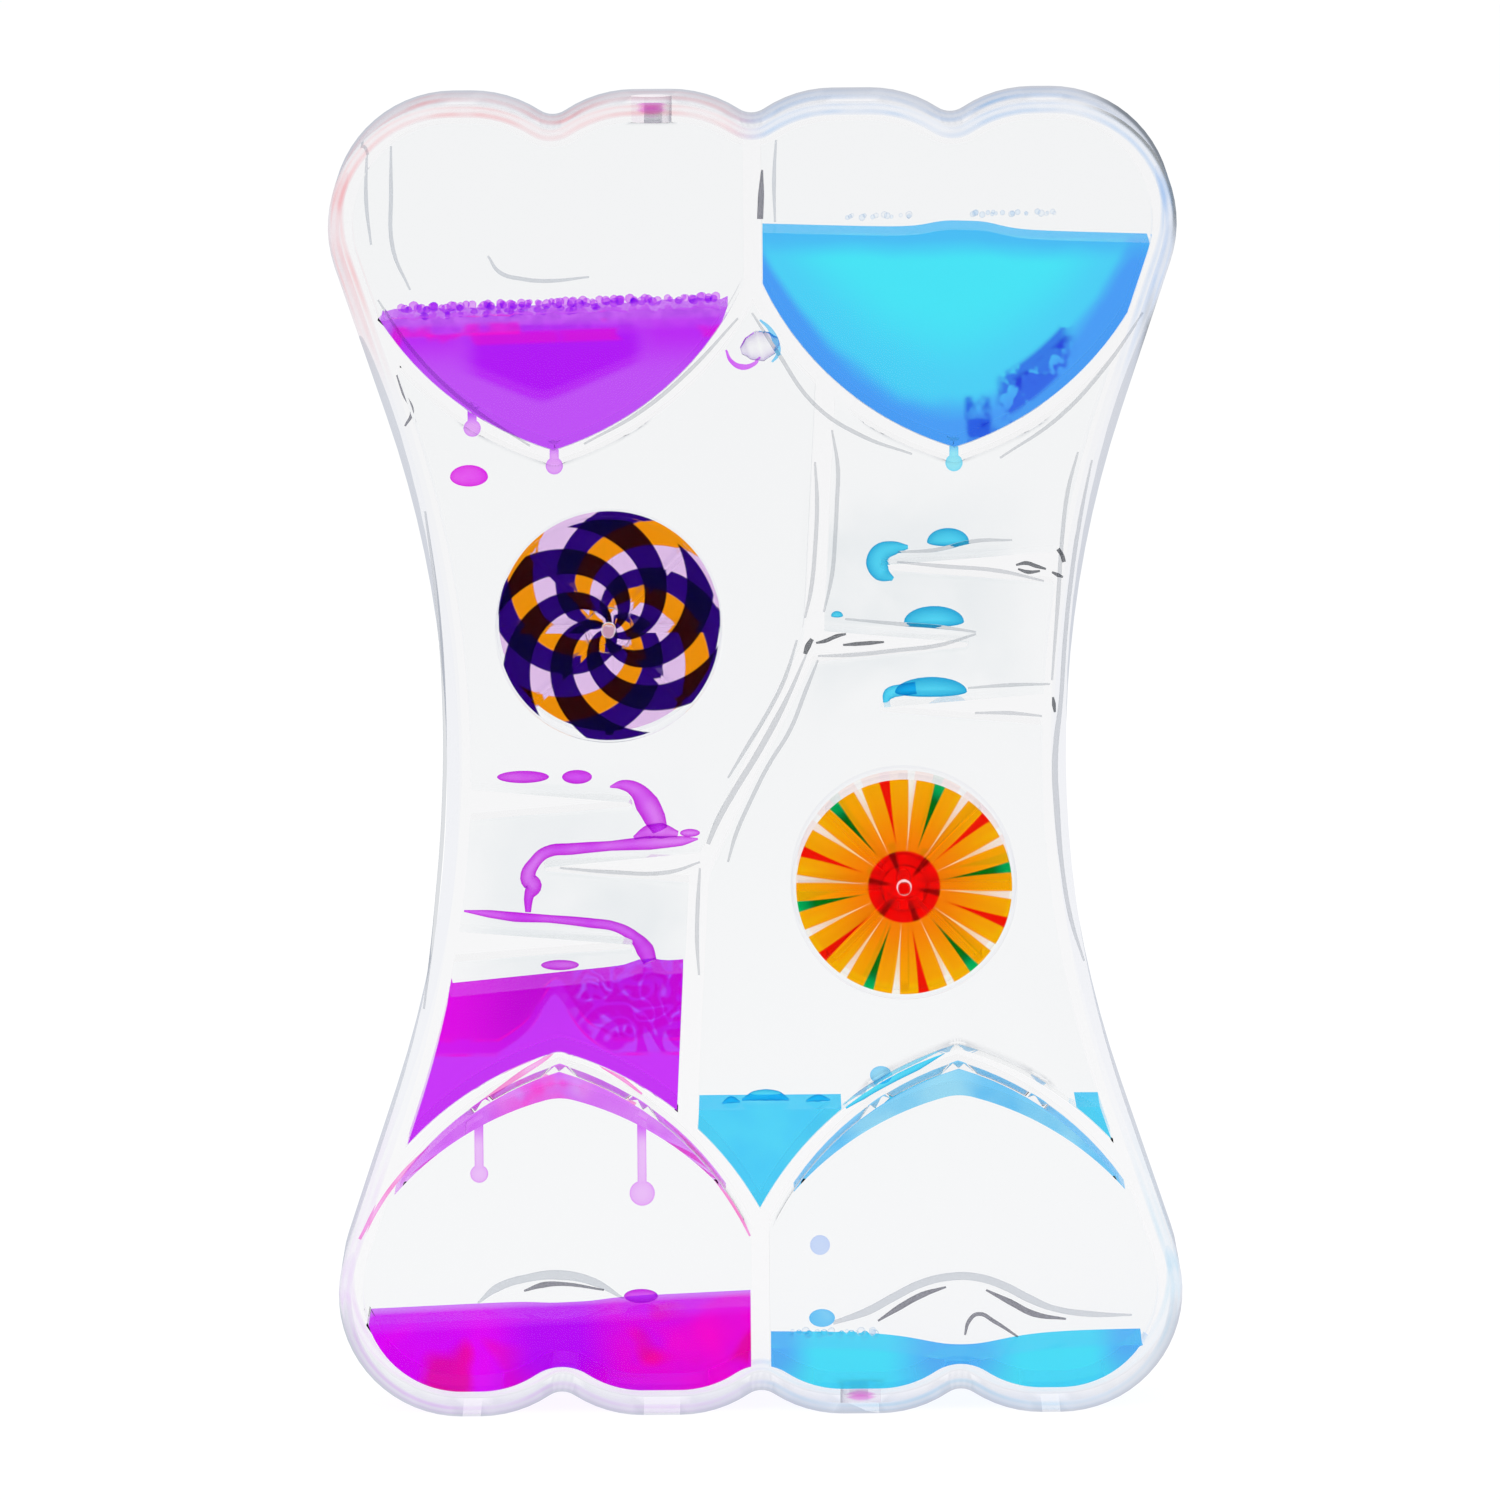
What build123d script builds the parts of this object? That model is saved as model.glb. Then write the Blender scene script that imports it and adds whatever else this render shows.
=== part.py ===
from build123d import *
import os
from math import acos, atan2, cos, hypot, sin, sqrt

# Liquid motion timer: a flat clear body shaped as two pairs of hearts, joined at a waist.
# Violet liquid runs down the left side and blue liquid down the right, through clear oil.
# The origin is on the table under the middle of the body, with X to the right and Y to the back.

# Body outline
body_height = 145.0
body_width = 93.0
body_depth = 25.0
waist_width = 68.0
waist_curve_share = 0.91
shoulder_radius = 13.5
lobe_flat = 4.0
notch_depth = 3.3
inner_notch_depth = 4.4
notch_radius = 2.5
edge_chamfer = 1.4
overrun = 2.0

# Walls of the two moulded halves
rim_wall = 2.6
face_wall = 2.4
centre_wall = 2.0
floor_wall = 2.1
divider_wall = 2.2

# Sloping floors of the hearts, as heights above the middle of the body
floor_low = 34.3
floor_high = 52.5
floor_radius = 34.0
floor_hole_radius = 1.0
floor_hole_spacing = 9.0

# S-shaped divider between the two middle chambers
divider_end_x = 8.0
divider_bend_x = 6.4
divider_bend_height = 13.0
divider_bend_radius = 7.0

# Ledges that the drops run along, as heights above the middle of the body
ledge_root = 4.3
ledge_tip = 1.1
ledge_fall = 1.5
ledge_tip_radius = 0.5
outer_ledge_gap = 5.7
inner_ledge_gap = 7.9
high_ledge_height = 22.9
inner_ledge_height = 14.3
low_ledge_height = 7.2

# Paddle wheels
wheel_waist_gap = 2.75
wheel_height = 14.35
wheel_radius = 12.5
wheel_width = 14.0
wheel_disc = 1.0
wheel_edge_chamfer = 0.3
hub_radius = 2.6
vane_count = 8
vane_thickness = 0.9
vane_inset = 0.8
print_film = 0.2
left_print_radius = 12.2
right_print_radius = 11.9

# Axle pins and the bosses that hold them
pin_radius = 0.75
pin_running_clearance = 0.08
pin_seat_clearance = 0.03
pin_end_gap = 0.2
pin_chamfer = 0.2
boss_radius = 2.5
boss_root_chamfer = 0.5
wheel_end_play = 0.3

# Fill plugs
plug_radius = 2.2
plug_clearance = 0.05
plug_edge_chamfer = 0.2

# Liquids, as depths over the lowest point of a heart, and as heights over the roofs of the lower hearts
oil_film = 0.1
violet_top_depth = 15.1
blue_top_depth = 22.3
violet_pool_rise = 9.5
blue_pool_rise = -4.4
violet_base_depth = 8.5
blue_base_depth = 5.1
roof_film_drop = 2.8
roof_film_half_width = 18.5
roof_film_round = 6.0
stream_radius = 0.5
bulb_radius = 0.95
pendant_length = 1.1
roof_thread_lengths = (8.3, 11.0)
roof_bulb_radii = (1.0, 1.4)

# Liquid running along the ledges, with widths measured front to back
stream_thickness = 1.3
stream_width = 3.6
stream_bend_radius = 1.1
stream_chamfer = 0.4
stream_gap = 0.15
high_stream_from_rim = 2.6
inner_stream_from_divider = 2.8
low_stream_from_tip = 4.8
tip_drop_from_tip = 2.3
tip_drop_hang = 3.6
drops_from_tip = (6.9, 4.4, 4.9)
drop_half_widths = (2.2, 3.2, 4.2)
drop_heights = (2.1, 2.4, 2.3)
small_drops_from_tip = (12.2, 6.5)
small_drop_half_widths = (2.4, 1.5)
small_drop_height = 1.0

# Sizes that follow from the ones above
half_height = body_height / 2
half_width = body_width / 2
half_depth = body_depth / 2
cell_depth = half_depth - face_wall
liquid_depth = cell_depth - oil_film
shoulder_x = half_width - shoulder_radius
shoulder_y = half_height - shoulder_radius
lobe_pitch = 2 * shoulder_x / 3
heart_x = lobe_pitch
wheel_face = wheel_width / 2
boss_end = wheel_face + print_film + wheel_end_play
wheel_x = waist_width / 2 - rim_wall - wheel_waist_gap - wheel_radius
outer_ledge_tip_x = divider_end_x + outer_ledge_gap
inner_ledge_tip_x = waist_width / 2 - rim_wall - inner_ledge_gap

# The waist's arc is a share of the largest one that runs smoothly into the shoulders
waist_step = shoulder_x - waist_width / 2
waist_reach = waist_step ** 2 + shoulder_y ** 2 - shoulder_radius ** 2
waist_radius = waist_curve_share * waist_reach / (2 * (shoulder_radius + waist_step))

# Heights of the liquids' surfaces above the middle of the body
violet_top_level = floor_low + violet_top_depth
blue_top_level = floor_low + blue_top_depth
violet_pool_level = violet_pool_rise - floor_low
blue_pool_level = blue_pool_rise - floor_low
violet_base_level = violet_base_depth + rim_wall - half_height
blue_base_level = blue_base_depth + rim_wall - half_height

# Upright plane where the two halves meet. Its own X and Y are the body's X and height.
seam = Plane(origin=(0, 0, half_height), x_dir=(1, 0, 0), z_dir=(0, -1, 0))

os.makedirs("parts", exist_ok=True)


def save(piece, name):
    """Label a finished piece and write it to its own file."""
    piece.part.label = name
    export_step(piece.part, "parts/" + name + ".step")


def body_outline(inset, lobe_drop):
    """Waist arcs, shoulders and four flat-topped lobes at either end, drawn in by an inset.

    Each lobe falls by its drop from the end of its flat to the notch beside it.
    """
    waist_x = waist_width / 2 + waist_radius
    centres_apart = hypot(waist_x - shoulder_x, shoulder_y)
    turn = acos((waist_radius + shoulder_radius) / centres_apart) - atan2(shoulder_y, waist_x - shoulder_x)
    waist = waist_radius + inset
    shoulder = shoulder_radius - inset
    top = half_height - inset
    shoulder_end = (shoulder_x + shoulder * cos(turn), shoulder_y + shoulder * sin(turn))
    waist_end = (waist_x - waist * cos(turn), -waist * sin(turn))
    outer_flat_x = shoulder_x - lobe_flat / 2
    inner_flat_x = lobe_pitch / 2 + lobe_flat / 2
    middle_flat_x = lobe_pitch / 2 - lobe_flat / 2
    lobe = (middle_flat_x ** 2 + lobe_drop ** 2) / (2 * lobe_drop)
    notch_y = top - lobe_drop
    with BuildSketch() as sketch:
        with BuildLine():
            RadiusArc((waist_x - waist, 0), waist_end, waist)
            Line(waist_end, shoulder_end)
            RadiusArc(shoulder_end, (shoulder_x, top), -shoulder)
            Line((shoulder_x, top), (outer_flat_x, top))
            RadiusArc((outer_flat_x, top), (lobe_pitch, notch_y), -lobe)
            RadiusArc((lobe_pitch, notch_y), (inner_flat_x, top), -lobe)
            Line((inner_flat_x, top), (middle_flat_x, top))
            RadiusArc((middle_flat_x, top), (0, notch_y), -lobe)
            mirror(about=Plane.YZ)
            mirror(about=Plane.XZ)
        make_face()
        fillet(sketch.vertices().filter_by(lambda v: is_notch(v)), notch_radius + inset)
    return sketch.sketch


def is_notch(corner):
    """Notches stand between the lobes, on the middle line and one lobe pitch to each side of it."""
    from_middle = abs(corner.X)
    return min(from_middle, abs(from_middle - lobe_pitch)) < lobe_flat / 4


def heart_cell(inside):
    """Inside of the upper right heart: two curved floors meet at the hole under its middle."""
    low = (heart_x, floor_low)
    near = (centre_wall / 2, floor_high)
    far = (2 * heart_x - centre_wall / 2, floor_high)
    corners = [(centre_wall / 2, half_height), (half_width, half_height), (half_width, floor_high)]
    with BuildSketch() as sketch:
        with BuildLine():
            RadiusArc(low, near, floor_radius)
            Polyline(near, *corners, far)
            RadiusArc(far, low, floor_radius)
        make_face()
        add(inside, mode=Mode.INTERSECT)
    return sketch.sketch


def floor_height(from_middle):
    """Height of a heart's floor at a distance from the heart's middle."""
    run = heart_x - centre_wall / 2
    rise = floor_high - floor_low
    chord = hypot(run, rise)
    to_centre = sqrt(floor_radius ** 2 - chord ** 2 / 4)
    centre_x = run / 2 - to_centre * rise / chord
    centre_y = rise / 2 + to_centre * run / chord
    return floor_low + centre_y - sqrt(floor_radius ** 2 - (from_middle - centre_x) ** 2)


def ledge_points(ledge):
    """Corners of a wedge ledge: its top falls towards the tip and it is thickest at the root."""
    root_x, low_root_x, tip_x, height = ledge
    tip_height = height - ledge_fall
    top = [(root_x, height), (tip_x, tip_height)]
    return top + [(tip_x, tip_height - ledge_tip), (low_root_x, height - ledge_root)]


def waist_x_at(height):
    """Distance from the middle line to the outside of the waist, at a height."""
    return waist_width / 2 + waist_radius - sqrt(waist_radius ** 2 - height ** 2)


def rim_middle(height):
    """Distance from the middle line to the middle of the waist's rim wall, at a height."""
    return waist_x_at(height) - rim_wall / 2


def outer_ledge(height):
    """Ledge rooted in the rim: its root's X at the top and at the bottom, its tip's X, its height."""
    return (rim_middle(height), rim_middle(height - ledge_root), outer_ledge_tip_x, height)


high_ledge = outer_ledge(high_ledge_height)
low_ledge = outer_ledge(low_ledge_height)
inner_root_x = divider_bend_x * (inner_ledge_height - ledge_root) / divider_bend_height
inner_ledge = (divider_bend_x, inner_root_x, inner_ledge_tip_x, inner_ledge_height)


def inner_walls():
    """Divider and ledges, the right side drawn and the left side turned half a turn about the middle.

    The divider's ends stand in the floors of an upper and a lower heart.
    """
    divider_end_height = floor_height(heart_x - divider_end_x) - floor_wall / 2
    divider_path = [
        (divider_end_x, divider_end_height),
        (divider_bend_x, divider_bend_height),
        (-divider_bend_x, -divider_bend_height),
        (-divider_end_x, -divider_end_height),
    ]
    with BuildSketch() as sketch:
        with BuildLine() as divider:
            FilletPolyline(*divider_path, radius=divider_bend_radius)
        trace(divider.line, line_width=divider_wall)
        with PolarLocations(0, 2):
            for ledge in (high_ledge, inner_ledge, low_ledge):
                Polygon(*ledge_points(ledge), align=None)
        fillet(sketch.vertices().filter_by(lambda v: is_ledge_tip(v)), ledge_tip_radius)
    return sketch.sketch


def is_ledge_tip(corner):
    """Ledge tips lie at one of two distances from the middle line, at any height."""
    from_middle = abs(corner.X)
    return min(abs(from_middle - outer_ledge_tip_x), abs(from_middle - inner_ledge_tip_x)) < ledge_tip / 2


outline = body_outline(0, notch_depth)
inside = body_outline(rim_wall, inner_notch_depth)
one_heart = heart_cell(inside)
with BuildSketch() as hearts:
    add(one_heart)
    mirror(about=Plane.YZ)
    mirror(about=Plane.XZ)
divider_and_ledges = inner_walls()
with BuildSketch() as middle:
    add(inside)
    for heart in hearts.sketch.faces():
        offset(heart, amount=floor_wall, kind=Kind.ARC, mode=Mode.SUBTRACT)
    add(divider_and_ledges, mode=Mode.SUBTRACT)
left_chamber, right_chamber = middle.sketch.faces().sort_by(Axis.X)
lower_hearts, upper_hearts = hearts.sketch.faces().group_by(Axis.Y)
lower_left_heart, lower_right_heart = lower_hearts.sort_by(Axis.X)
upper_left_heart, upper_right_heart = upper_hearts.sort_by(Axis.X)


def is_on_axle(place):
    """Places on either wheel's axle, at any depth."""
    return hypot(abs(place.X) - wheel_x, abs(place.Z - half_height) - wheel_height) < pin_radius


def half_shell(toward):
    """One clear moulded half, drawn from the seam to the front (1) or to the back (-1)."""
    with BuildPart() as half:
        with BuildSketch(seam):
            add(outline)
        extrude(amount=toward * half_depth)
        outer_face = half.faces().sort_by(Axis.Y, reverse=toward < 0)[0]
        chamfer(outer_face.edges(), edge_chamfer)
        with BuildSketch(seam):
            add(hearts.sketch)
            add(middle.sketch)
        extrude(amount=toward * cell_depth, mode=Mode.SUBTRACT)

        # Bosses that hold the ends of the two axle pins
        with BuildSketch(seam.offset(toward * boss_end)):
            with Locations((-wheel_x, wheel_height), (wheel_x, -wheel_height)):
                Circle(boss_radius)
        extrude(amount=toward * (cell_depth - boss_end))
        circles = half.edges().filter_by(GeomType.CIRCLE)
        on_axles = circles.filter_by(lambda e: is_on_axle(e.arc_center))
        chamfer(on_axles.sort_by(Axis.Y, reverse=toward < 0)[:2], boss_root_chamfer)
        with BuildSketch(seam):
            with Locations((-wheel_x, wheel_height), (wheel_x, -wheel_height)):
                Circle(pin_radius + pin_seat_clearance)
        extrude(amount=toward * cell_depth, mode=Mode.SUBTRACT)

        # Half-round notches that make three drip holes in each floor when the halves meet
        for across in (-1, 1):
            for along in (-floor_hole_spacing, 0, floor_hole_spacing):
                hole_height = floor_height(abs(along)) - floor_wall / 2
                for level in (half_height - hole_height, half_height + hole_height):
                    with Locations((across * (heart_x + along), 0, level)):
                        Cylinder(floor_hole_radius, floor_wall + 2 * overrun, mode=Mode.SUBTRACT)

        # Half-round notches for the fill plugs, one above the violet side and one under the blue
        for place in ((-lobe_pitch / 2, 0, body_height), (lobe_pitch / 2, 0, 0)):
            with Locations(place):
                Cylinder(plug_radius + plug_clearance, rim_wall + 2 * overrun, mode=Mode.SUBTRACT)
    return half


front_shell = half_shell(1)
save(front_shell, "front_shell")
back_shell = half_shell(-1)
save(back_shell, "back_shell")


def fill_plug(place):
    """Round plug, bonded flush in the rim after filling."""
    with BuildPart(Plane(place)) as plug:
        Cylinder(plug_radius, rim_wall)
        chamfer(plug.edges().filter_by(GeomType.CIRCLE), plug_edge_chamfer)
    return plug


violet_fill_plug = fill_plug((-lobe_pitch / 2, 0, body_height - rim_wall / 2))
save(violet_fill_plug, "violet_fill_plug")
blue_fill_plug = fill_plug((lobe_pitch / 2, 0, rim_wall / 2))
save(blue_fill_plug, "blue_fill_plug")


def wheel_plane(side):
    """Plane through a wheel's middle, square to its axle: -1 is the left wheel, 1 the right."""
    middle_point = (side * wheel_x, 0, half_height - side * wheel_height)
    return Plane(origin=middle_point, x_dir=(1, 0, 0), z_dir=(0, -1, 0))


def axle_pin(side):
    """Pin that stands between the two halves, its ends in their bosses."""
    with BuildPart() as pin:
        with BuildSketch(wheel_plane(side)):
            Circle(pin_radius)
        extrude(amount=cell_depth - pin_end_gap, both=True)
        chamfer(pin.edges().filter_by(GeomType.CIRCLE), pin_chamfer)
    return pin


def paddle_drum(side):
    """Hub with flat vanes that the drops push on, closed by a disc at either end."""
    vane_end = wheel_radius - vane_inset
    drum_half = wheel_face - wheel_disc
    with BuildPart() as drum:
        with BuildSketch(wheel_plane(side)):
            Circle(hub_radius)
            with PolarLocations(vane_end / 2, vane_count):
                Rectangle(vane_end, vane_thickness)
            Circle(pin_radius + pin_running_clearance, mode=Mode.SUBTRACT)
        extrude(amount=drum_half, both=True)
    return drum


def end_disc(side, toward):
    """Clear disc on the front (1) or back (-1) end of a drum."""
    with BuildPart() as disc:
        with BuildSketch(wheel_plane(side).offset(toward * (wheel_face - wheel_disc))):
            Circle(wheel_radius)
        extrude(amount=toward * wheel_disc)
        chamfer(disc.edges().filter_by(GeomType.CIRCLE), wheel_edge_chamfer)
        with BuildSketch(wheel_plane(side)):
            Circle(pin_radius + pin_running_clearance)
        extrude(amount=toward * half_depth, mode=Mode.SUBTRACT)
    return disc


def disc_print(side, toward, radius):
    """Printed film stuck to the outside of a disc."""
    with BuildPart() as film:
        with BuildSketch(wheel_plane(side).offset(toward * wheel_face)):
            Circle(radius)
            Circle(pin_radius + pin_running_clearance, mode=Mode.SUBTRACT)
        extrude(amount=toward * print_film)
    return film


for wheel, side, print_radius in (("left", -1, left_print_radius), ("right", 1, right_print_radius)):
    save(axle_pin(side), wheel + "_axle_pin")
    save(paddle_drum(side), wheel + "_wheel_paddles")
    for end, toward in (("front", 1), ("back", -1)):
        save(end_disc(side, toward), wheel + "_wheel_" + end + "_disc")
        save(disc_print(side, toward, print_radius), wheel + "_wheel_" + end + "_print")


def standing_liquid(chamber, level):
    """Liquid in a chamber up to a level, a film of oil short of every wall."""
    with BuildSketch(seam) as section:
        offset(chamber, amount=-oil_film)
        with Locations((0, level)):
            Rectangle(body_width, body_height, align=(Align.CENTER, Align.MAX), mode=Mode.INTERSECT)
    extrude(section.sketch, amount=liquid_depth, both=True)


def hanging_drop(x, top, bottom, end_radius):
    """Upright thread of liquid with a round drop forming at its lower end."""
    bulb = bottom + end_radius + sqrt(end_radius ** 2 - stream_radius ** 2)
    with BuildSketch(Plane(origin=(x, 0, 0), x_dir=(1, 0, 0), z_dir=(0, -1, 0))) as profile:
        with BuildLine():
            Polyline((0, bottom), (0, top), (stream_radius, top), (stream_radius, bulb))
            RadiusArc((stream_radius, bulb), (0, bottom), end_radius)
        make_face()
    revolve(profile.sketch, axis=Axis((x, 0, 0), (0, 0, 1)))


def drop_under_floor(side, along):
    """Drop that forms under a hole in an upper heart's floor."""
    floor = half_height + floor_height(abs(along))
    bottom = floor - floor_wall - pendant_length
    hanging_drop(side * (heart_x + along), floor + floor_wall / 2, bottom, bulb_radius)


def roof_film(side):
    """Film of liquid that clings under a lower heart's roof and thins out to both sides."""
    end_height = -floor_height(roof_film_half_width) - oil_film
    low = (side * heart_x, -floor_low - roof_film_drop)
    left_end = (side * heart_x - roof_film_half_width, end_height)
    right_end = (side * heart_x + roof_film_half_width, end_height)
    chamber = lower_right_heart if side > 0 else lower_left_heart
    with BuildSketch(seam) as section:
        with BuildLine():
            RadiusArc(left_end, low, floor_radius)
            RadiusArc(low, right_end, floor_radius)
            Polyline(right_end, (right_end[0], -floor_low), (left_end[0], -floor_low), left_end)
        make_face()
        fillet(section.vertices().sort_by_distance(low)[0], roof_film_round)
        add(offset(chamber, amount=-oil_film, mode=Mode.PRIVATE), mode=Mode.INTERSECT)
    extrude(section.sketch, amount=liquid_depth, both=True)


def top_of_ledge(ledge, turned, x):
    """Height of a ledge's top face at a distance from the middle line, run on past its tip."""
    root_x, low_root_x, tip_x, height = ledge
    if turned:
        share = (low_root_x - x) / (low_root_x - tip_x)
        return -(height - ledge_root + share * (ledge_root - ledge_fall - ledge_tip))
    return height - ledge_fall * (root_x - x) / (root_x - tip_x)


def resting_drop(ledge, side, from_tip, half_width, height):
    """Dome of liquid at rest on a ledge: side 1 is the right of the body, -1 the left."""
    root_x, low_root_x, tip_x, ledge_height = ledge
    x = tip_x + from_tip if root_x > tip_x else tip_x - from_tip
    top = top_of_ledge(ledge, side < 0, x)
    slope = side * (top_of_ledge(ledge, side < 0, x + half_width) - top) / half_width
    base = Vector(side * x, 0, half_height + top + stream_gap)
    plane = Plane(origin=base, x_dir=(1, 0, slope), z_dir=(0, -1, 0))
    cap_radius = (half_width ** 2 + height ** 2) / (2 * height)
    with BuildSketch(plane) as profile:
        with BuildLine():
            Line((0, 0), (half_width, 0))
            RadiusArc((half_width, 0), (0, height), -cap_radius)
            Line((0, height), (0, 0))
        make_face()
    revolve(profile.sketch, axis=Axis(plane.origin, plane.y_dir))


def running_stream(ledge, side, start_x, end_height):
    """Liquid that runs along a ledge's top, turns round its tip and falls to a height."""
    root_x, low_root_x, tip_x, height = ledge
    above = stream_gap + stream_thickness / 2
    fall_x = tip_x + above if tip_x > root_x else tip_x - above
    turn_point = (side * fall_x, top_of_ledge(ledge, side < 0, fall_x) + above)
    start = (side * start_x, top_of_ledge(ledge, side < 0, start_x) + above)
    with BuildLine(seam) as path:
        FilletPolyline(start, turn_point, (side * fall_x, end_height), radius=stream_bend_radius)
    with BuildSketch(Plane(origin=path.line @ 0, x_dir=(0, 1, 0), z_dir=path.line % 0)) as section:
        Rectangle(stream_width, stream_thickness)
        chamfer(section.vertices(), stream_chamfer)
    sweep(section.sketch, path=path.line)


with BuildPart() as violet_upper_fill:
    standing_liquid(upper_left_heart, violet_top_level)
    drop_under_floor(-1, 0)
    drop_under_floor(-1, floor_hole_spacing)
save(violet_upper_fill, "violet_upper_fill")
with BuildPart() as blue_upper_fill:
    standing_liquid(upper_right_heart, blue_top_level)
    drop_under_floor(1, 0)
save(blue_upper_fill, "blue_upper_fill")
with BuildPart() as violet_middle_pool:
    standing_liquid(left_chamber, violet_pool_level)
save(violet_middle_pool, "violet_middle_pool")
with BuildPart() as blue_middle_pool:
    standing_liquid(right_chamber, blue_pool_level)
save(blue_middle_pool, "blue_middle_pool")
with BuildPart() as violet_lower_fill:
    standing_liquid(lower_left_heart, violet_base_level)
save(violet_lower_fill, "violet_lower_fill")
with BuildPart() as blue_lower_fill:
    standing_liquid(lower_right_heart, blue_base_level)
save(blue_lower_fill, "blue_lower_fill")
with BuildPart() as violet_roof_film:
    roof_film(-1)
    roof = half_height - floor_height(floor_hole_spacing) - oil_film - stream_radius
    for across, length, end_radius in zip((-1, 1), roof_thread_lengths, roof_bulb_radii):
        hanging_drop(across * floor_hole_spacing - heart_x, roof, roof - length, end_radius)
save(violet_roof_film, "violet_roof_film")
with BuildPart() as blue_roof_film:
    roof_film(1)
save(blue_roof_film, "blue_roof_film")

with BuildPart() as blue_ledge_drops:
    for i, ledge in enumerate((high_ledge, inner_ledge, low_ledge)):
        resting_drop(ledge, 1, drops_from_tip[i], drop_half_widths[i], drop_heights[i])
    tip_top = top_of_ledge(high_ledge, False, outer_ledge_tip_x)
    running_stream(high_ledge, 1, outer_ledge_tip_x + tip_drop_from_tip, tip_top - tip_drop_hang)
save(blue_ledge_drops, "blue_ledge_drops")

with BuildPart() as violet_ledge_streams:
    for from_tip, half_width in zip(small_drops_from_tip, small_drop_half_widths):
        resting_drop(low_ledge, -1, from_tip, half_width, small_drop_height)
    landing = 2 * stream_gap + stream_thickness
    under_low_ledge = top_of_ledge(inner_ledge, True, outer_ledge_tip_x) + landing
    running_stream(low_ledge, -1, outer_ledge_tip_x + low_stream_from_tip, under_low_ledge)
    under_inner_ledge = top_of_ledge(high_ledge, True, inner_ledge_tip_x) + landing
    running_stream(inner_ledge, -1, divider_bend_x + inner_stream_from_divider, under_inner_ledge)
    from_middle = waist_x_at(high_ledge_height) - rim_wall - high_stream_from_rim
    running_stream(high_ledge, -1, from_middle, violet_pool_level + stream_gap)
save(violet_ledge_streams, "violet_ledge_streams")
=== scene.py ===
from math import cos, pi, radians, sin

import bmesh
import bpy
from mathutils import Matrix, Vector


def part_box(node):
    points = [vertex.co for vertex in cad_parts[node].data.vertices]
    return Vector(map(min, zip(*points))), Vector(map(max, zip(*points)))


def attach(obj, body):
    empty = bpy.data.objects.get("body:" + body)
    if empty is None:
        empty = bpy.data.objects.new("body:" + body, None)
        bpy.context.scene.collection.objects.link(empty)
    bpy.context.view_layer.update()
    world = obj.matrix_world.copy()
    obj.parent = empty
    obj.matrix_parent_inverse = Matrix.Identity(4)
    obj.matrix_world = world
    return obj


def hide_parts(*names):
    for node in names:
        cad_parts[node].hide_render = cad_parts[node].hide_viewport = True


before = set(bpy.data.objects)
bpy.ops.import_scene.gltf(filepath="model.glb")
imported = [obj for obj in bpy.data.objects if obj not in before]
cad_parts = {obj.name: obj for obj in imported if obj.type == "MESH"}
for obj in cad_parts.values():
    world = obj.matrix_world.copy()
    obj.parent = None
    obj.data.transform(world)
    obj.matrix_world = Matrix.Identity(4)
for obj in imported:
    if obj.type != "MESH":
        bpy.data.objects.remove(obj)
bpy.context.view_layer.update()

# Photographer's camera: a long lens two metres away, six degrees above the middle of the timer,
# so the ledges show a little of their tops and the two faces almost cover each other.
case_low, case_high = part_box("front_shell")
case_middle_height = (case_low.z + case_high.z) / 2
photo_pixels = 1500
pixels_per_metre = 9050
sensor_width = 36
camera_distance = 2.0
camera_elevation = radians(6)
camera_roll = radians(-0.45)
view_centre = Vector((-0.0007, 0, case_middle_height))
scene = bpy.context.scene
camera = bpy.data.objects.new("camera", bpy.data.cameras.new("camera"))
scene.collection.objects.link(camera)
scene.camera = camera
camera.data.sensor_width = sensor_width
camera.data.lens = sensor_width * pixels_per_metre * camera_distance / photo_pixels
camera.data.clip_start = 0.01
camera.data.clip_end = 20
towards_camera = Vector((0, -cos(camera_elevation), sin(camera_elevation)))
camera.location = view_centre + camera_distance * towards_camera
camera.rotation_euler = (
    towards_camera.to_track_quat("Z", "Y").to_matrix() @ Matrix.Rotation(camera_roll, 3, "Z")
).to_euler()


# Case halves: two clear styrene mouldings with the walls, floors and ledges on their inner faces,
# welded at the middle of the rim. They are polished outside, and the oil inside hides most of
# the inner faces, so those bend light only a little.
class Field:
    """A number that changes over a surface. Sums on it add the shader's own Math nodes."""

    def __init__(self, finish, socket):
        self.finish = finish
        self.socket = socket

    def join(self, operation, *values):
        return self.finish.node("Math", {"operation": operation}, dict(enumerate(values)))

    def __add__(self, other):
        return self.join("ADD", self, other)

    def __sub__(self, other):
        return self.join("SUBTRACT", self, other)

    def __rsub__(self, other):
        return self.join("SUBTRACT", other, self)

    def __mul__(self, other):
        return self.join("MULTIPLY", self, other)

    def __truediv__(self, other):
        return self.join("DIVIDE", self, other)

    def __pow__(self, other):
        return self.join("POWER", self, other)

    def __rpow__(self, other):
        return self.join("POWER", other, self)

    __radd__ = __add__
    __rmul__ = __mul__


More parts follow.
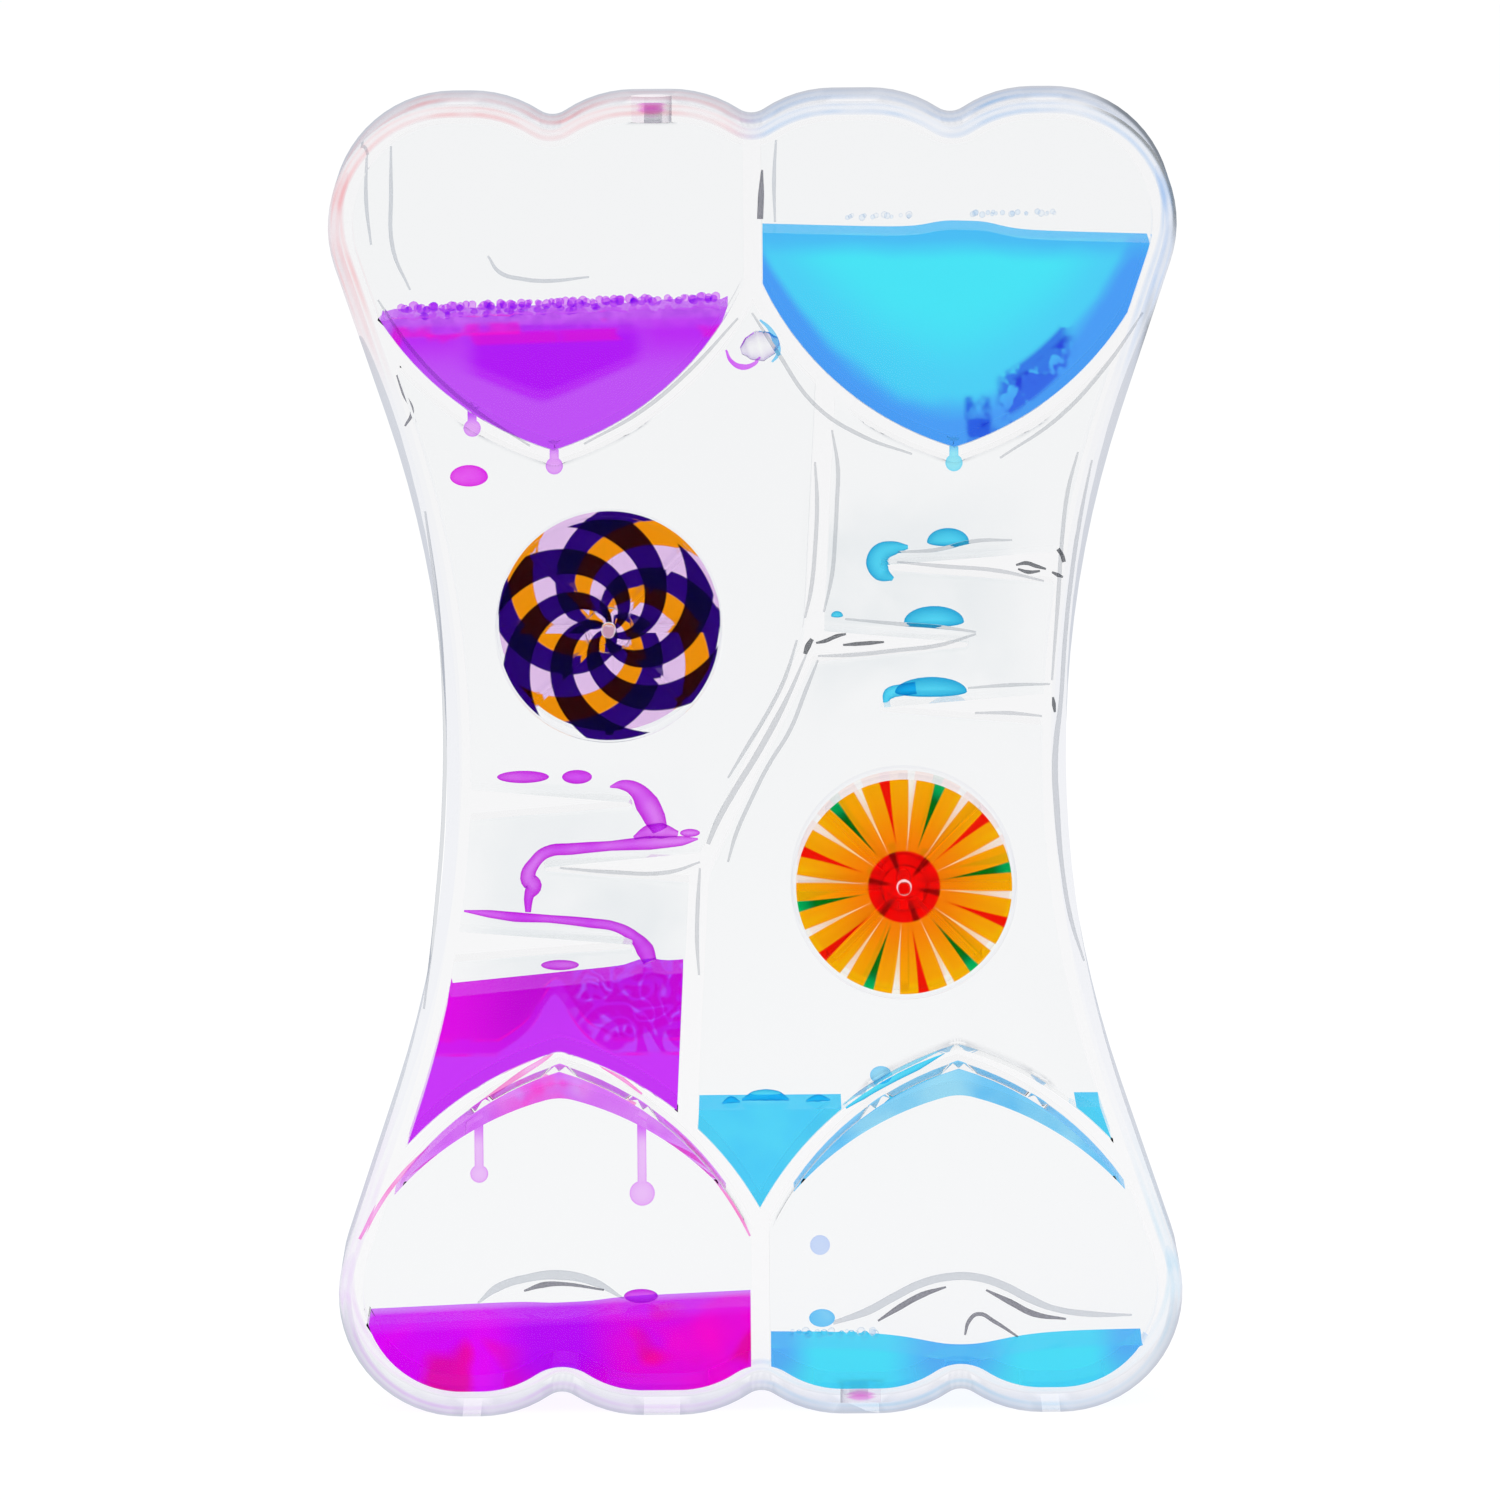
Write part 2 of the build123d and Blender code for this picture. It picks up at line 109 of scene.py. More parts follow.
class Finish:
    """One material, or the world's surround, made node by node."""

    def __init__(self, name, world=None):
        self.material = world or bpy.data.materials.new(name)
        self.material.use_nodes = True
        self.tree = self.material.node_tree
        self.tree.nodes.clear()

    def node(self, kind, settings=None, sockets=None, result=0):
        """Add a node: its settings first, then the values or links of its sockets."""
        made = self.tree.nodes.new("ShaderNode" + kind)
        for key, value in (settings or {}).items():
            setattr(made, key, value)
        for key, value in (sockets or {}).items():
            if isinstance(value, Field):
                self.tree.links.new(value.socket, made.inputs[key])
            else:
                made.inputs[key].default_value = value
        return Field(self, made.outputs[result]) if made.outputs else None

    def place(self, middle=(0, 0, 0)):
        """X, Y and Z of the point being shaded, in millimetres from a middle given in metres."""
        point = self.node("TexCoord", result="Object")
        from_middle = self.node("VectorMath", {"operation": "SUBTRACT"}, {0: point, 1: middle})
        scaled = self.node("VectorMath", {"operation": "SCALE"}, {0: from_middle, "Scale": 1000})
        split = self.node("SeparateXYZ", {}, {0: scaled})
        return [Field(self, split.socket.node.outputs[i]) for i in range(3)]

    def turned(self, blend):
        """0 where a surface faces the eye and 1 where it is seen edge-on."""
        return self.node("LayerWeight", {}, {"Blend": blend}, result="Facing")

    def mottle(self, scale, detail=2.0, distortion=0.0):
        """Soft random pattern, 0 to 1, with a scale in patches per metre."""
        point = self.node("TexCoord", result="Object")
        return self.node("TexNoise", {}, {
            "Vector": point, "Scale": scale, "Detail": detail, "Distortion": distortion})

    def between(self, value, low, high):
        """0 below low, 1 above high, and a smooth rise between them."""
        return self.node("MapRange", {"interpolation_type": "SMOOTHSTEP"}, {0: value, 1: low, 2: high})

    def below(self, value, low, high):
        """1 below low, 0 above high, and a smooth fall between them."""
        return self.between(value * -1.0, -high, -low)

    def blend(self, share, first, second):
        """One colour passing into another."""
        return self.node("Mix", {"data_type": "RGBA"}, {0: share, 6: first, 7: second}, result=2)

    def clear_body(self, shade, ior, roughness=0.0):
        """Clear or dyed body that bends light, with little shine on its faces."""
        return self.node("BsdfPrincipled", {}, {
            "Base Color": shade, "Roughness": roughness, "IOR": ior, "Specular Tint": surface_shine,
            "Transmission Weight": 1.0})

    def light_through(self, surface, tint):
        """Close the material: lamps and bounced light pass straight through, tinted."""
        path = self.node("LightPath")
        outputs = path.socket.node.outputs
        shadow, bounced = (Field(self, outputs[name]) for name in ("Is Shadow Ray", "Is Diffuse Ray"))
        clear = self.node("BsdfTransparent", {}, {"Color": tint})
        mixed = self.node("MixShader", {}, {0: larger_of(shadow, bounced), 1: surface, 2: clear})
        self.node("OutputMaterial", {}, {"Surface": mixed})
        return self.material


def larger_of(first, second):
    """The larger of a field and another field or number."""
    return first.join("MAXIMUM", first, second)


def abs_of(value):
    """Size of a field without its sign."""
    return value.join("ABSOLUTE", value)


def stripe(finish, place, middle, half_width, blur):
    """1 inside a stripe, with a narrow soft edge."""
    return finish.between(half_width - abs_of(place - middle), -blur, blur)


def colour(red, green, blue):
    """Colour as the shader wants it, from the values of a screen pixel."""
    return tuple((level / full_level) ** screen_gamma for level in (red, green, blue)) + (1,)


def dye(red, green, blue):
    """Colour of a liquid that shows as a screen pixel through the case's clear faces."""
    return tuple(min(1, level / case_white) ** screen_gamma for level in (red, green, blue)) + (1,)


full_level = 255
screen_gamma = 2.2
case_white = 244


def clear_finish(name, ior, tint, edge_tint, edge_blend=0.3):
    """Clear plastic that darkens a little where it is seen edge-on."""
    finish = Finish(name)
    facing = finish.turned(edge_blend)
    shade = finish.blend(facing, tint, edge_tint)
    return finish.light_through(finish.clear_body(shade, ior), tint)


surface_shine = (0.1, 0.1, 0.1, 1)
edge_ior = 1.02
oiled_ior = 1.008
clear_tint = colour(253, 253, 254)


def painted_liquid_colours(finish):
    """Painted colours of the liquids that show through the rim: rosy and violet on the left, blue on the
    right.
    """
    x, _, height = finish.place(view_centre)
    up = finish.between(height, -40, 40)
    left = finish.blend(up, lavender_rim, rosy_rim)
    right = finish.blend(up, pale_blue_rim, lilac_rim)
    across = finish.blend(finish.between(x, -3, 3), left, right)
    in_waist = finish.between(abs_of(height), 38, 56)
    streaks = finish.between(finish.mottle(90, 3), 0.35, 0.65)
    return finish.blend(in_waist * (0.45 + 0.55 * streaks), plain_rim, across)


def edge_finish():
    """Rounded outer edge, painted with the liquids' colours that show through it along the hearts, and nearly
    plain at the waist.

    Two fine lines of the painted liquid colour run along it, and painted shade puts a dark grey line on the
    right-hand shoulder.
    """
    finish = Finish("rounded clear edge")
    x, y, height = finish.place(view_centre)
    facing = finish.turned(0.5)
    inwards = abs_of(y) - edge_start
    outer_line = stripe(finish, inwards, 0.35, 0.12, 0.12)
    inner_line = stripe(finish, inwards, 1.05, 0.2, 0.16)
    lines = larger_of(outer_line * 0.6, inner_line)
    lines = lines * (0.5 + 0.5 * finish.between(finish.mottle(120, 2, 0.8), 0.35, 0.6))
    # Painted colour of the liquids seen through the edge, strongest on the two fine lines.
    shade = finish.blend(0.3 + 0.7 * lines, plain_rim, painted_liquid_colours(finish))
    shade = finish.blend(finish.between(facing, 0.5, 1.0), shade, colour(212, 214, 222))
    # Painted shade: a dark grey line where the right-hand shoulder turns away, in two arcs with a gap between
    # them.
    shaded_shoulder = finish.between(x, 36, 42) * finish.between(height, 20, 36)
    gap = finish.between(abs_of(height - 53), 2.0, 7.0)
    line = finish.between(facing, 0.35, 0.7)
    shade = finish.blend(shaded_shoulder * gap * line, shade, colour(92, 98, 104))
    return finish.light_through(finish.clear_body(shade, edge_ior), plain_rim)


def side_finish():
    """Flanks of the case: clear when seen square on, with a grey line where they turn away."""
    finish = Finish("clear flank")
    facing = finish.turned(0.5)
    straight = finish.node("BsdfTransparent", {}, {"Color": flank_tint})
    turned = finish.node("BsdfTransparent", {}, {"Color": colour(214, 217, 224)})
    through = finish.node("MixShader", {}, {0: finish.between(facing, 0.8, 1.0), 1: straight, 2: turned})
    return finish.light_through(through, flank_tint)


def oiled_finish():
    """Inner faces: nearly lost in the oil, grey edge-on, and with painted grey-blue shade beside the ledges'
    roots.
    """
    finish = Finish("oil-wetted clear plastic")
    x, _, height = finish.place(view_centre)
    facing = finish.turned(0.4)
    # Painted shade: mottled grey-blue beside the ledges' roots, on the upper right and the lower left.
    by_ledges = finish.below(abs_of(x), 26, 34) * finish.between(abs_of(x), 5, 9)
    by_ledges = by_ledges * finish.below(abs_of(abs_of(height) - 16), 8, 17)
    painted_shade = finish.between(finish.mottle(60, 3, 0.4), 0.4, 0.7) * by_ledges * 0.6
    painted_shade = painted_shade * finish.between(x * height, -60, 60)
    plain = finish.blend(painted_shade, colour(253, 254, 254), colour(226, 233, 236))
    shade = finish.blend(facing, plain, colour(176, 180, 187))
    return finish.light_through(finish.clear_body(shade, oiled_ior), clear_tint)


def in_scene(name, data):
    """New object, in the scene."""
    made = bpy.data.objects.new(name, data)
    scene.collection.objects.link(made)
    return made


def welded_copy(node, name):
    """Copy of a node's solid with its loose triangles joined up into flat faces."""
    mesh = bpy.data.meshes.new(name)
    shape = bmesh.new()
    shape.from_mesh(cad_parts[node].data)
    bmesh.ops.remove_doubles(shape, verts=shape.verts, dist=weld_distance)
    bmesh.ops.dissolve_limit(shape, angle_limit=flat_angle, verts=shape.verts, edges=shape.edges)
    shape.to_mesh(mesh)
    shape.free()
    return in_scene(name, mesh)


def mesh_of(piece):
    """Mesh of an object with its modifiers and rounding worked out."""
    graph = bpy.context.evaluated_depsgraph_get()
    return bpy.data.meshes.new_from_object(piece.evaluated_get(graph))


def smooth_rounds(piece, sharp_angle):
    """Shade round faces smoothly, with the flat faces kept flat."""
    piece.data.set_sharp_from_angle(angle=sharp_angle)
    even = piece.modifiers.new("flat faces first", "WEIGHTED_NORMAL")
    even.keep_sharp = True
    even.weight = 100
    piece.data = mesh_of(piece)
    piece.modifiers.clear()


def fit(piece, body, slot, *nodes):
    """Put a finished piece on its body, in place of its nodes."""
    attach(piece, body)
    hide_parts(*nodes)


weld_distance = 0.000002
flat_angle = radians(0.2)
seam_depth = 0.00001
divider_top = (0.0089, 0.1112)
divider_fillet = 0.002
heart_middle = 0.022
hole_offsets = (0, 0.009)
hole_reach = 0.0013
waist_half_height = 0.018
outside_angle = radians(55)
edge_start = 11.1  # millimetres from the seam
# Liquid colours painted on the rim where they show through it, and the rim's plain colour between them.
rosy_rim = colour(240, 158, 164)
lilac_rim = colour(142, 184, 236)
lavender_rim = colour(222, 178, 240)
pale_blue_rim = colour(180, 218, 240)
plain_rim = colour(238, 239, 243)
flank_tint = colour(250, 250, 252)

# How far a face's direction has to lie along an axis to count as square on, slanted or steep.
square_on = 0.9
slanted = 0.3
steep = 0.7

clear_ior = 1.49
outer_plastic = clear_finish(
    "polished clear plastic", clear_ior, colour(243, 243, 244), colour(220, 222, 226), 0.25)
seam_finish = Finish("welded seam")
seam_finish.node("OutputMaterial", {}, {"Surface": seam_finish.node("BsdfTransparent")})
case_finishes = {
    "face": outer_plastic,
    "edge": edge_finish(),
    "flank": side_finish(),
    "oiled inside": oiled_finish(),
    "seam": seam_finish.material,
}


def outside_faces(shape):
    """The flat outer face, the chamfer round it and the rim."""
    start = max(shape.faces, key=lambda face: abs(face.calc_center_median().y))
    found = {start}
    front = [start]
    while front:
        face = front.pop()
        for edge in face.edges:
            for other in edge.link_faces:
                if other not in found and face.normal.angle(other.normal) < outside_angle:
                    found.add(other)
                    front.append(other)
    return found


def case_finish_of(face, outside):
    """Which of the case's finishes a face has.

    The drip holes' walls and the divider's upper root are lost in the oil, like the seam.
    """
    middle = face.calc_center_median()
    in_seam = all(abs(corner.co.y) < seam_depth for corner in face.verts)
    from_root = Vector((middle.x - divider_top[0], middle.z - divider_top[1])).length
    if in_seam or from_root < divider_fillet:
        return "seam"
    if face not in outside:
        from_middle = abs(abs(middle.x) - heart_middle)
        from_hole = min(abs(from_middle - offset) for offset in hole_offsets)
        by_floor = abs(middle.z - case_middle_height) > waist_half_height
        in_hole = from_hole < hole_reach and by_floor and abs(face.normal.z) < steep
        return "seam" if in_hole else "oiled inside"
    if abs(face.normal.y) > square_on:
        return "face"
    return "edge" if abs(face.normal.y) > slanted else "flank"


for node in ("front_shell", "back_shell"):
    half = welded_copy(node, node.replace("shell", "case"))
    for material in case_finishes.values():
        half.data.materials.append(material)
    shape = bmesh.new()
    shape.from_mesh(half.data)
    outside = outside_faces(shape)
    for face in shape.faces:
        face.material_index = list(case_finishes).index(case_finish_of(face, outside))
        face.smooth = face in outside
    shape.to_mesh(half.data)
    shape.free()
    smooth_rounds(half, outside_angle)
    fit(half, "housing", "clear_shell", node)


# Fill plugs: clear styrene discs bonded into the rim once the liquids and the oil are in. A little
# dyed liquid is caught in the bond, half-way down.
def paint(node, finish):
    """Give a node that is kept as it is a finish of its own."""
    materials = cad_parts[node].data.materials
    materials.clear()
    materials.append(finish)


def plug_finish(node):
    """Clear, with a magenta stain across the middle."""
    finish = Finish(node.replace("_", " "))
    low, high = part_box(node)
    x, _, height = finish.place((low + high) / 2)
    stain = finish.between(0.45 - abs_of(height + 0.3) - 0.14 * x * x, -0.1, 0.3)
    shade = finish.blend(stain, plug_tint, colour(238, 120, 220))
    return finish.light_through(finish.clear_body(shade, plug_ior, plug_haze), plug_tint)


plug_ior = 1.005
plug_haze = 0.05
plug_tint = colour(250, 244, 249)
for side in ("violet", "blue"):
    node = side + "_fill_plug"
    paint(node, plug_finish(node))


# Liquids: dyed and clear, heavier than the oil. They stand in the hearts and the waist, cling under
# the lower roofs and run along the ledges. Their depth of colour changes with where light comes
# through. In their finishes, places are in millimetres from the middle of the view, and the two
# numbers after a place are where a smooth rise or fall starts and ends.
def close_liquid(finish, shade, plain, edge_colour, edge_share=0.2):
    """Finish a dyed liquid: deeper in colour where its surface turns away."""
    facing = finish.turned(edge_share)
    body = finish.clear_body(finish.blend(facing, shade, edge_colour), liquid_ior)
    return finish.light_through(body, plain)


def violet_heart():
    """Deep violet in the middle, paler towards the floors, with a pale band under the surface."""
    finish = Finish("violet liquid in the upper heart")
    x, _, height = finish.place(view_centre)
    from_middle = (x + 22.5) * (x + 22.5) + 1.0
    floor_bend = 39.2 + 0.43 * (from_middle ** 0.5)
    deep = finish.between(height - floor_bend, -0.4, 0.6) * finish.between(47.4 - height, -0.2, 0.5)
    deep = deep * finish.below(x, -13.0, -9.5) * finish.between(x, -33.0, -29.0)
    shade = finish.blend(deep, dye(190, 82, 244), dye(176, 30, 244))
    side = finish.between(height, 42.0, 47.0) * (1.0 - deep)
    shade = finish.blend(side, shade, dye(186, 44, 243))
    foam = finish.between(height - 0.028 * x, 47.6, 48.6)
    shade = finish.blend(foam, shade, dye(198, 100, 242))
    froth = finish.between(finish.mottle(700, 3), 0.4, 0.6)
    shade = finish.blend(foam * froth * 0.5, shade, dye(160, 50, 225))
    # Painted highlight: red-magenta glints in patches just under the foam.
    under_foam = finish.between(1.0 - abs_of(height - 47.5 - 0.028 * x), 0.1, 0.6)
    streak = finish.between(finish.mottle(160, 2), 0.46, 0.54) * under_foam
    shade = finish.blend(streak, shade, dye(250, 20, 205))
    below_hole = finish.below(height, 33.0, 34.6)
    side_drop = finish.below(height, 36.6, 38.0) * finish.below(x, -29, -28)
    forming = larger_of(below_hole, side_drop)
    shade = finish.blend(forming, shade, dye(226, 164, 245))
    return close_liquid(finish, shade, dye(180, 60, 243), dye(196, 96, 240))


def blue_heart():
    """Cyan in the middle and bluer along the floors."""
    finish = Finish("blue liquid in the upper heart")
    x, _, height = finish.place(view_centre)
    across = x - 22.0
    bowl = height - 38.0 - 0.042 * across * across
    waver = finish.mottle(110, 2) * 3.0 - 1.5
    bright = finish.between(bowl + waver, -1.0, 1.4)
    shade = finish.blend(bright, dye(76, 156, 244), dye(78, 206, 244))
    glow = finish.between(bowl + waver, 2.0, 12.0)
    shade = finish.blend(glow, shade, dye(74, 226, 244))
    top_band = finish.between(height + 0.022 * x + 0.5 * waver, 55.2, 56.8)
    shade = finish.blend(top_band * 0.8, shade, dye(76, 178, 243))
    along_floor = finish.between(across, 5.0, 6.5) * finish.below(across, 12.5, 14.5)
    along_floor = along_floor * finish.below(bowl, 1.2, 2.2) * finish.between(bowl, -2.6, -1.6)
    navy = along_floor * finish.between(finish.mottle(420, 2), 0.46, 0.54)
    shade = finish.blend(navy, shade, dye(44, 72, 216))
    near_apex = finish.below(abs_of(across - 3.4), 1.0, 1.8)
    near_apex = near_apex * finish.below(height, 38.4, 39.2)
    apex_mark = near_apex * finish.between(finish.mottle(330, 2), 0.42, 0.56)
    shade = finish.blend(apex_mark, shade, dye(30, 60, 210))
    shade = finish.blend(finish.below(height, 33.0, 34.6), shade, dye(150, 228, 242))
    return close_liquid(finish, shade, dye(76, 200, 244), dye(84, 196, 243))


def violet_pool():
    """Magenta above, lilac below a boundary that follows the roof, with swirls by the divider."""
    finish = Finish("violet liquid in the waist")
    x, _, height = finish.place(view_centre)
    across = x + 21.7
    roof_rise = abs_of(across) * -0.62 + 4.0
    bump = 2.6 * (natural_base ** (across * across * -0.2))
    boundary = larger_of(roof_rise, 0) + bump - 32.3
    upper = finish.between(height - boundary, -0.15, 0.25)
    magenta = finish.blend(finish.between(x, -34.0, -24.0), dye(220, 14, 226), dye(196, 10, 214))
    shade = finish.blend(upper, dye(198, 56, 244), magenta)
    rings = finish.mottle(105, 1, 2.5) * 5.0
    line = finish.between(0.24 - abs_of(rings.join("FRACT", rings) - 0.5), 0.0, 0.16)
    by_divider = finish.between(x + 0.35 * height, -30.5, -27.5) * upper
    shade = finish.blend(line * by_divider, shade, dye(184, 74, 244))
    hot = finish.between(1.0 - abs_of(height - boundary + 0.1), 0.72, 0.92)
    hot = hot * finish.between(finish.mottle(200, 1), 0.4, 0.6)
    shade = finish.blend(hot, shade, dye(246, 16, 206))
    return close_liquid(finish, shade, dye(190, 20, 230), dye(206, 40, 236))


def violet_base():
    """Violet with pink light coming through in patches."""
    finish = Finish("violet liquid at the bottom")
    x, _, height = finish.place(view_centre)
    patch = finish.between(finish.mottle(75, 2, 0.6), 0.36, 0.6)
    ends = finish.between(abs_of(x + 22.0), 2.0, 9.0)
    lobe = finish.blend(finish.between(x, -23.0, -21.0), dye(228, 8, 240), dye(246, 0, 200))
    shade = finish.blend(ends * (0.4 + 0.6 * patch), dye(180, 14, 240), lobe)
    red = finish.between(finish.mottle(120, 1), 0.6, 0.68) * ends
    shade = finish.blend(red, shade, dye(236, 0, 120))
    rim_band = finish.between(height - 0.045 * x, -61.6, -60.4)
    shade = finish.blend(rim_band, shade, dye(210, 140, 247))
    return close_liquid(finish, shade, dye(205, 0, 238), dye(196, 80, 240))


def blue_base():
    """Blue, brighter in the middle of either lobe."""
    finish = Finish("blue liquid at the bottom")
    from_notch = abs_of(finish.place(view_centre)[0] - 22.0)
    lobe = finish.between(from_notch, 2.0, 8.0) * finish.below(from_notch, 15.0, 19.0)
    shade = finish.blend(lobe, dye(86, 172, 242), dye(76, 218, 243))
    return close_liquid(finish, shade, dye(72, 196, 242), dye(76, 190, 240))


def film_liquid(name, pale, deep, edge_pixel, edge_share=0.2):
    """Thin layer of liquid, uneven in depth, with its colours as screen pixels."""
    finish = Finish(name)
    patches = finish.between(finish.mottle(130, 3), 0.35, 0.65)
    shade = finish.blend(patches, dye(*pale), dye(*deep))
    return close_liquid(finish, shade, dye(*deep), dye(*edge_pixel), edge_share)


def violet_roof():
    """Film under the left roof, rosy at the top, with pale drops growing on the threads."""
    finish = Finish("violet liquid under the roof")
    x, _, height = finish.place(view_centre)
    patches = finish.between(finish.mottle(130, 3), 0.35, 0.65)
    shade = finish.blend(patches, dye(222, 150, 245), dye(208, 90, 243))
    shade = finish.blend(finish.below(height, -52.0, -40.0), shade, dye(234, 196, 247))
    by_apex = finish.below(abs_of(x + 23.5), 2.0, 7.0)
    rosy = by_apex * finish.between(finish.mottle(240, 2), 0.4, 0.56)
    shade = finish.blend(rosy, shade, dye(250, 80, 215))
    by_thread = finish.below(abs_of(abs_of(x + 22) - 9), 1.4, 1.8)
    thread = by_thread * finish.below(height, -43.5, -41.0)
    shade = finish.blend(thread, shade, dye(232, 186, 246))
    return close_liquid(finish, shade, dye(204, 100, 243), dye(212, 110, 238))


liquid_ior = 1.004
natural_base = 2.718
violet_film = violet_roof()
blue_film = film_liquid("thin blue liquid", (152, 216, 242), (100, 190, 241), (90, 180, 240))
violet_drops = film_liquid("running violet liquid", (224, 132, 244), (208, 70, 240), (190, 10, 212), 0.55)
blue_drops = film_liquid("running blue liquid", (92, 218, 243), (80, 206, 242), (16, 150, 204), 0.45)
blue_pool = film_liquid("blue liquid in the waist", (86, 212, 243), (76, 198, 242), (84, 200, 242))


def shape_surface(piece, level, profile):
    """Raise or lower the liquid's surface by a profile of X, on lines cut across it."""
    shape = bmesh.new()
    shape.from_mesh(piece.data)
    places = [corner.co.x for corner in shape.verts]
    first = min(places)
    for step in range(1, int((max(places) - first) / surface_step)):
        cut = Vector((first + step * surface_step, 0, 0))
        whole = shape.verts[:] + shape.edges[:] + shape.faces[:]
        bmesh.ops.bisect_plane(shape, geom=whole, plane_co=cut, plane_no=(1, 0, 0))
    for corner in shape.verts:
        if abs(corner.co.z - level) < surface_reach:
            corner.co.z += profile(corner.co.x * 1000) / 1000
    shape.to_mesh(piece.data)
    shape.free()


# Surfaces of the liquids, in millimetres over their level, from X in millimetres.
def violet_heart_surface(x):
    """Tilted a little, with fine ripples."""
    return 0.028 * (x + 22) + 0.12 * sin(1.9 * x) + 0.08 * sin(4.3 * x + 1)


def blue_heart_surface(x):
    """Tilted the other way, with a hump at the middle."""
    return 0.8 - 0.034 * (x - 22) + 0.9 / (1 + ((x - 23.4) / 4.2) ** 4)


def violet_pool_surface(x):
    """Tilted, with a small hump on the divider's side."""
    return 0.095 * (x + 21.7) + 0.5 / (1 + ((x + 12.5) / 1.6) ** 4)


def violet_base_surface(x):
    """Tilted a little, with a shallow dip at the middle."""
    return 0.042 * (x + 22) - 0.35 / (1 + ((x + 21) / 4) ** 4)


def blue_base_surface(x):
    """Dips deeply at the middle."""
    return -0.3 - 1.7 / (1 + abs((x - 22.3) / 6.0) ** 2.4)


surface_step = 0.0008
surface_reach = 0.00002
no_surface = None
pools = {
    "violet_upper_fill": (violet_heart(), violet_heart_surface),
    "blue_upper_fill": (blue_heart(), blue_heart_surface),
    "violet_middle_pool": (violet_pool(), violet_pool_surface),
    "blue_middle_pool": (blue_pool, no_surface),
    "violet_lower_fill": (violet_base(), violet_base_surface),
    "blue_lower_fill": (blue_base(), blue_base_surface),
    "violet_roof_film": (violet_film, no_surface),
    "blue_roof_film": (blue_film, no_surface),
}
for node, (finish, surface) in pools.items():
    piece = welded_copy(node, "_".join(node.split("_")[:2]) + "_liquid")
    piece.data.materials.append(finish)
    if surface:
        top = max(piece.data.vertices, key=lambda vertex: vertex.co.z).co.z
        shape_surface(piece, top, surface)
    fit(piece, "housing", node.split("_")[0] + "_liquid", node)


def seen_at(across, down, depth):
    """Point inside the case, at a depth behind its front face, that shows at a place in the photograph.

    The flat face makes things behind it look nearer, by the plastic's and the oil's bending of light.
    """
    focal = pixels_per_metre * camera_distance
    turn = camera.rotation_euler.to_matrix()
    ray = turn @ Vector((across - photo_pixels / 2, photo_pixels / 2 - down, -focal))
    seen_y = case_low.y + depth / clear_ior
    point = camera.location + ray * ((seen_y - camera.location.y) / ray.y)
    return Vector((point.x, case_low.y + depth, point.z))


half_case = -case_low.y
flow_sides = 16
flow_steps = 5


def flow(name, route, finish, depth_share=1.0, depth=half_case):
    """Run of liquid along a route of pixels and radii, with its depth as a share of its height."""
    line = bpy.data.curves.new(name, "CURVE")
    line.dimensions = "3D"
    line.bevel_depth = 1 / pixels_per_metre
    line.bevel_resolution = flow_sides // 4
    line.use_fill_caps = True
    line.resolution_u = flow_steps
    spline = line.splines.new("BEZIER")
    spline.bezier_points.add(len(route) - 1)
    for point, (across, down, radius) in zip(spline.bezier_points, route):
        place = seen_at(across, down, depth)
        point.co = (place.x, 0, place.z)
        point.radius = radius
        point.handle_left_type = point.handle_right_type = "AUTO"
    rough = in_scene(name, line)
    mesh = mesh_of(rough)
    bpy.data.objects.remove(rough)
    for vertex in mesh.vertices:
        vertex.co.y = vertex.co.y * depth_share + depth - half_case
    mesh.materials.clear()
    mesh.materials.append(finish)
    for face in mesh.polygons:
        face.use_smooth = True
    return in_scene(name, mesh)


def drop(across, down, half_width, height, finish, under_share=1.0):
    """Drop of liquid: its middle in pixels, its size in pixels and how round it is underneath."""
    shape = bmesh.new()
    bmesh.ops.create_uvsphere(shape, u_segments=drop_sides, v_segments=drop_sides // 2, radius=1)
    place = seen_at(across, down, half_case)
    for vertex in shape.verts:
        share = under_share if vertex.co.z < 0 else 1.0
        size = Vector((half_width, half_width, height * share)) / pixels_per_metre
        vertex.co = Vector((place.x, 0, place.z)) + vertex.co * size
    for face in shape.faces:
        face.smooth = True
    mesh = bpy.data.meshes.new("drop")
    shape.to_mesh(mesh)
    shape.free()
    mesh.materials.append(finish)
    return in_scene("drop", mesh)


drop_sides = 32


def joined(name, pieces):
    """One object from several."""
    with bpy.context.temp_override(active_object=pieces[0], selected_editable_objects=pieces):
        bpy.ops.object.join()
    pieces[0].name = name
    return pieces[0]


# Runs of violet: flat drops on the low ledge, a curl that falls off the divider, layers on the
# two ledges below, each turning down at the ledge's tip, and a drop forming over the pool.
violet_routes = (
    [(610, 787, 1), (622, 785, 5), (636, 790, 8), (647, 804, 12), (655, 819, 11), (660, 830, 8)],
    [(634, 838, 2), (648, 832, 7), (662, 831, 8), (678, 834, 3)],
    [(698, 839, 1), (682, 841, 5), (650, 843, 7), (610, 846, 5), (572, 849, 6), (547, 852, 6), (535, 862, 6),
     (528, 878, 8), (533, 886, 9), (529, 896, 5), (528, 912, 3)],
    [(464, 911, 1), (490, 914, 4), (515, 917, 5), (550, 919, 4), (590, 923, 5), (616, 927, 5), (634, 937, 6),
     (645, 950, 9), (650, 962, 7)],
)
violet_blobs = (
    (523, 777, 26, 6),
    (577, 777, 15, 7),
    (690, 833, 10, 4),
    (560, 965, 19, 5),
)
streams = [flow("violet run", route, violet_drops, depth_share=2.0) for route in violet_routes]
streams += [drop(*blob, violet_drops) for blob in violet_blobs]
fit(joined("violet_running_streams", streams), "housing", "violet_liquid", "violet_ledge_streams")

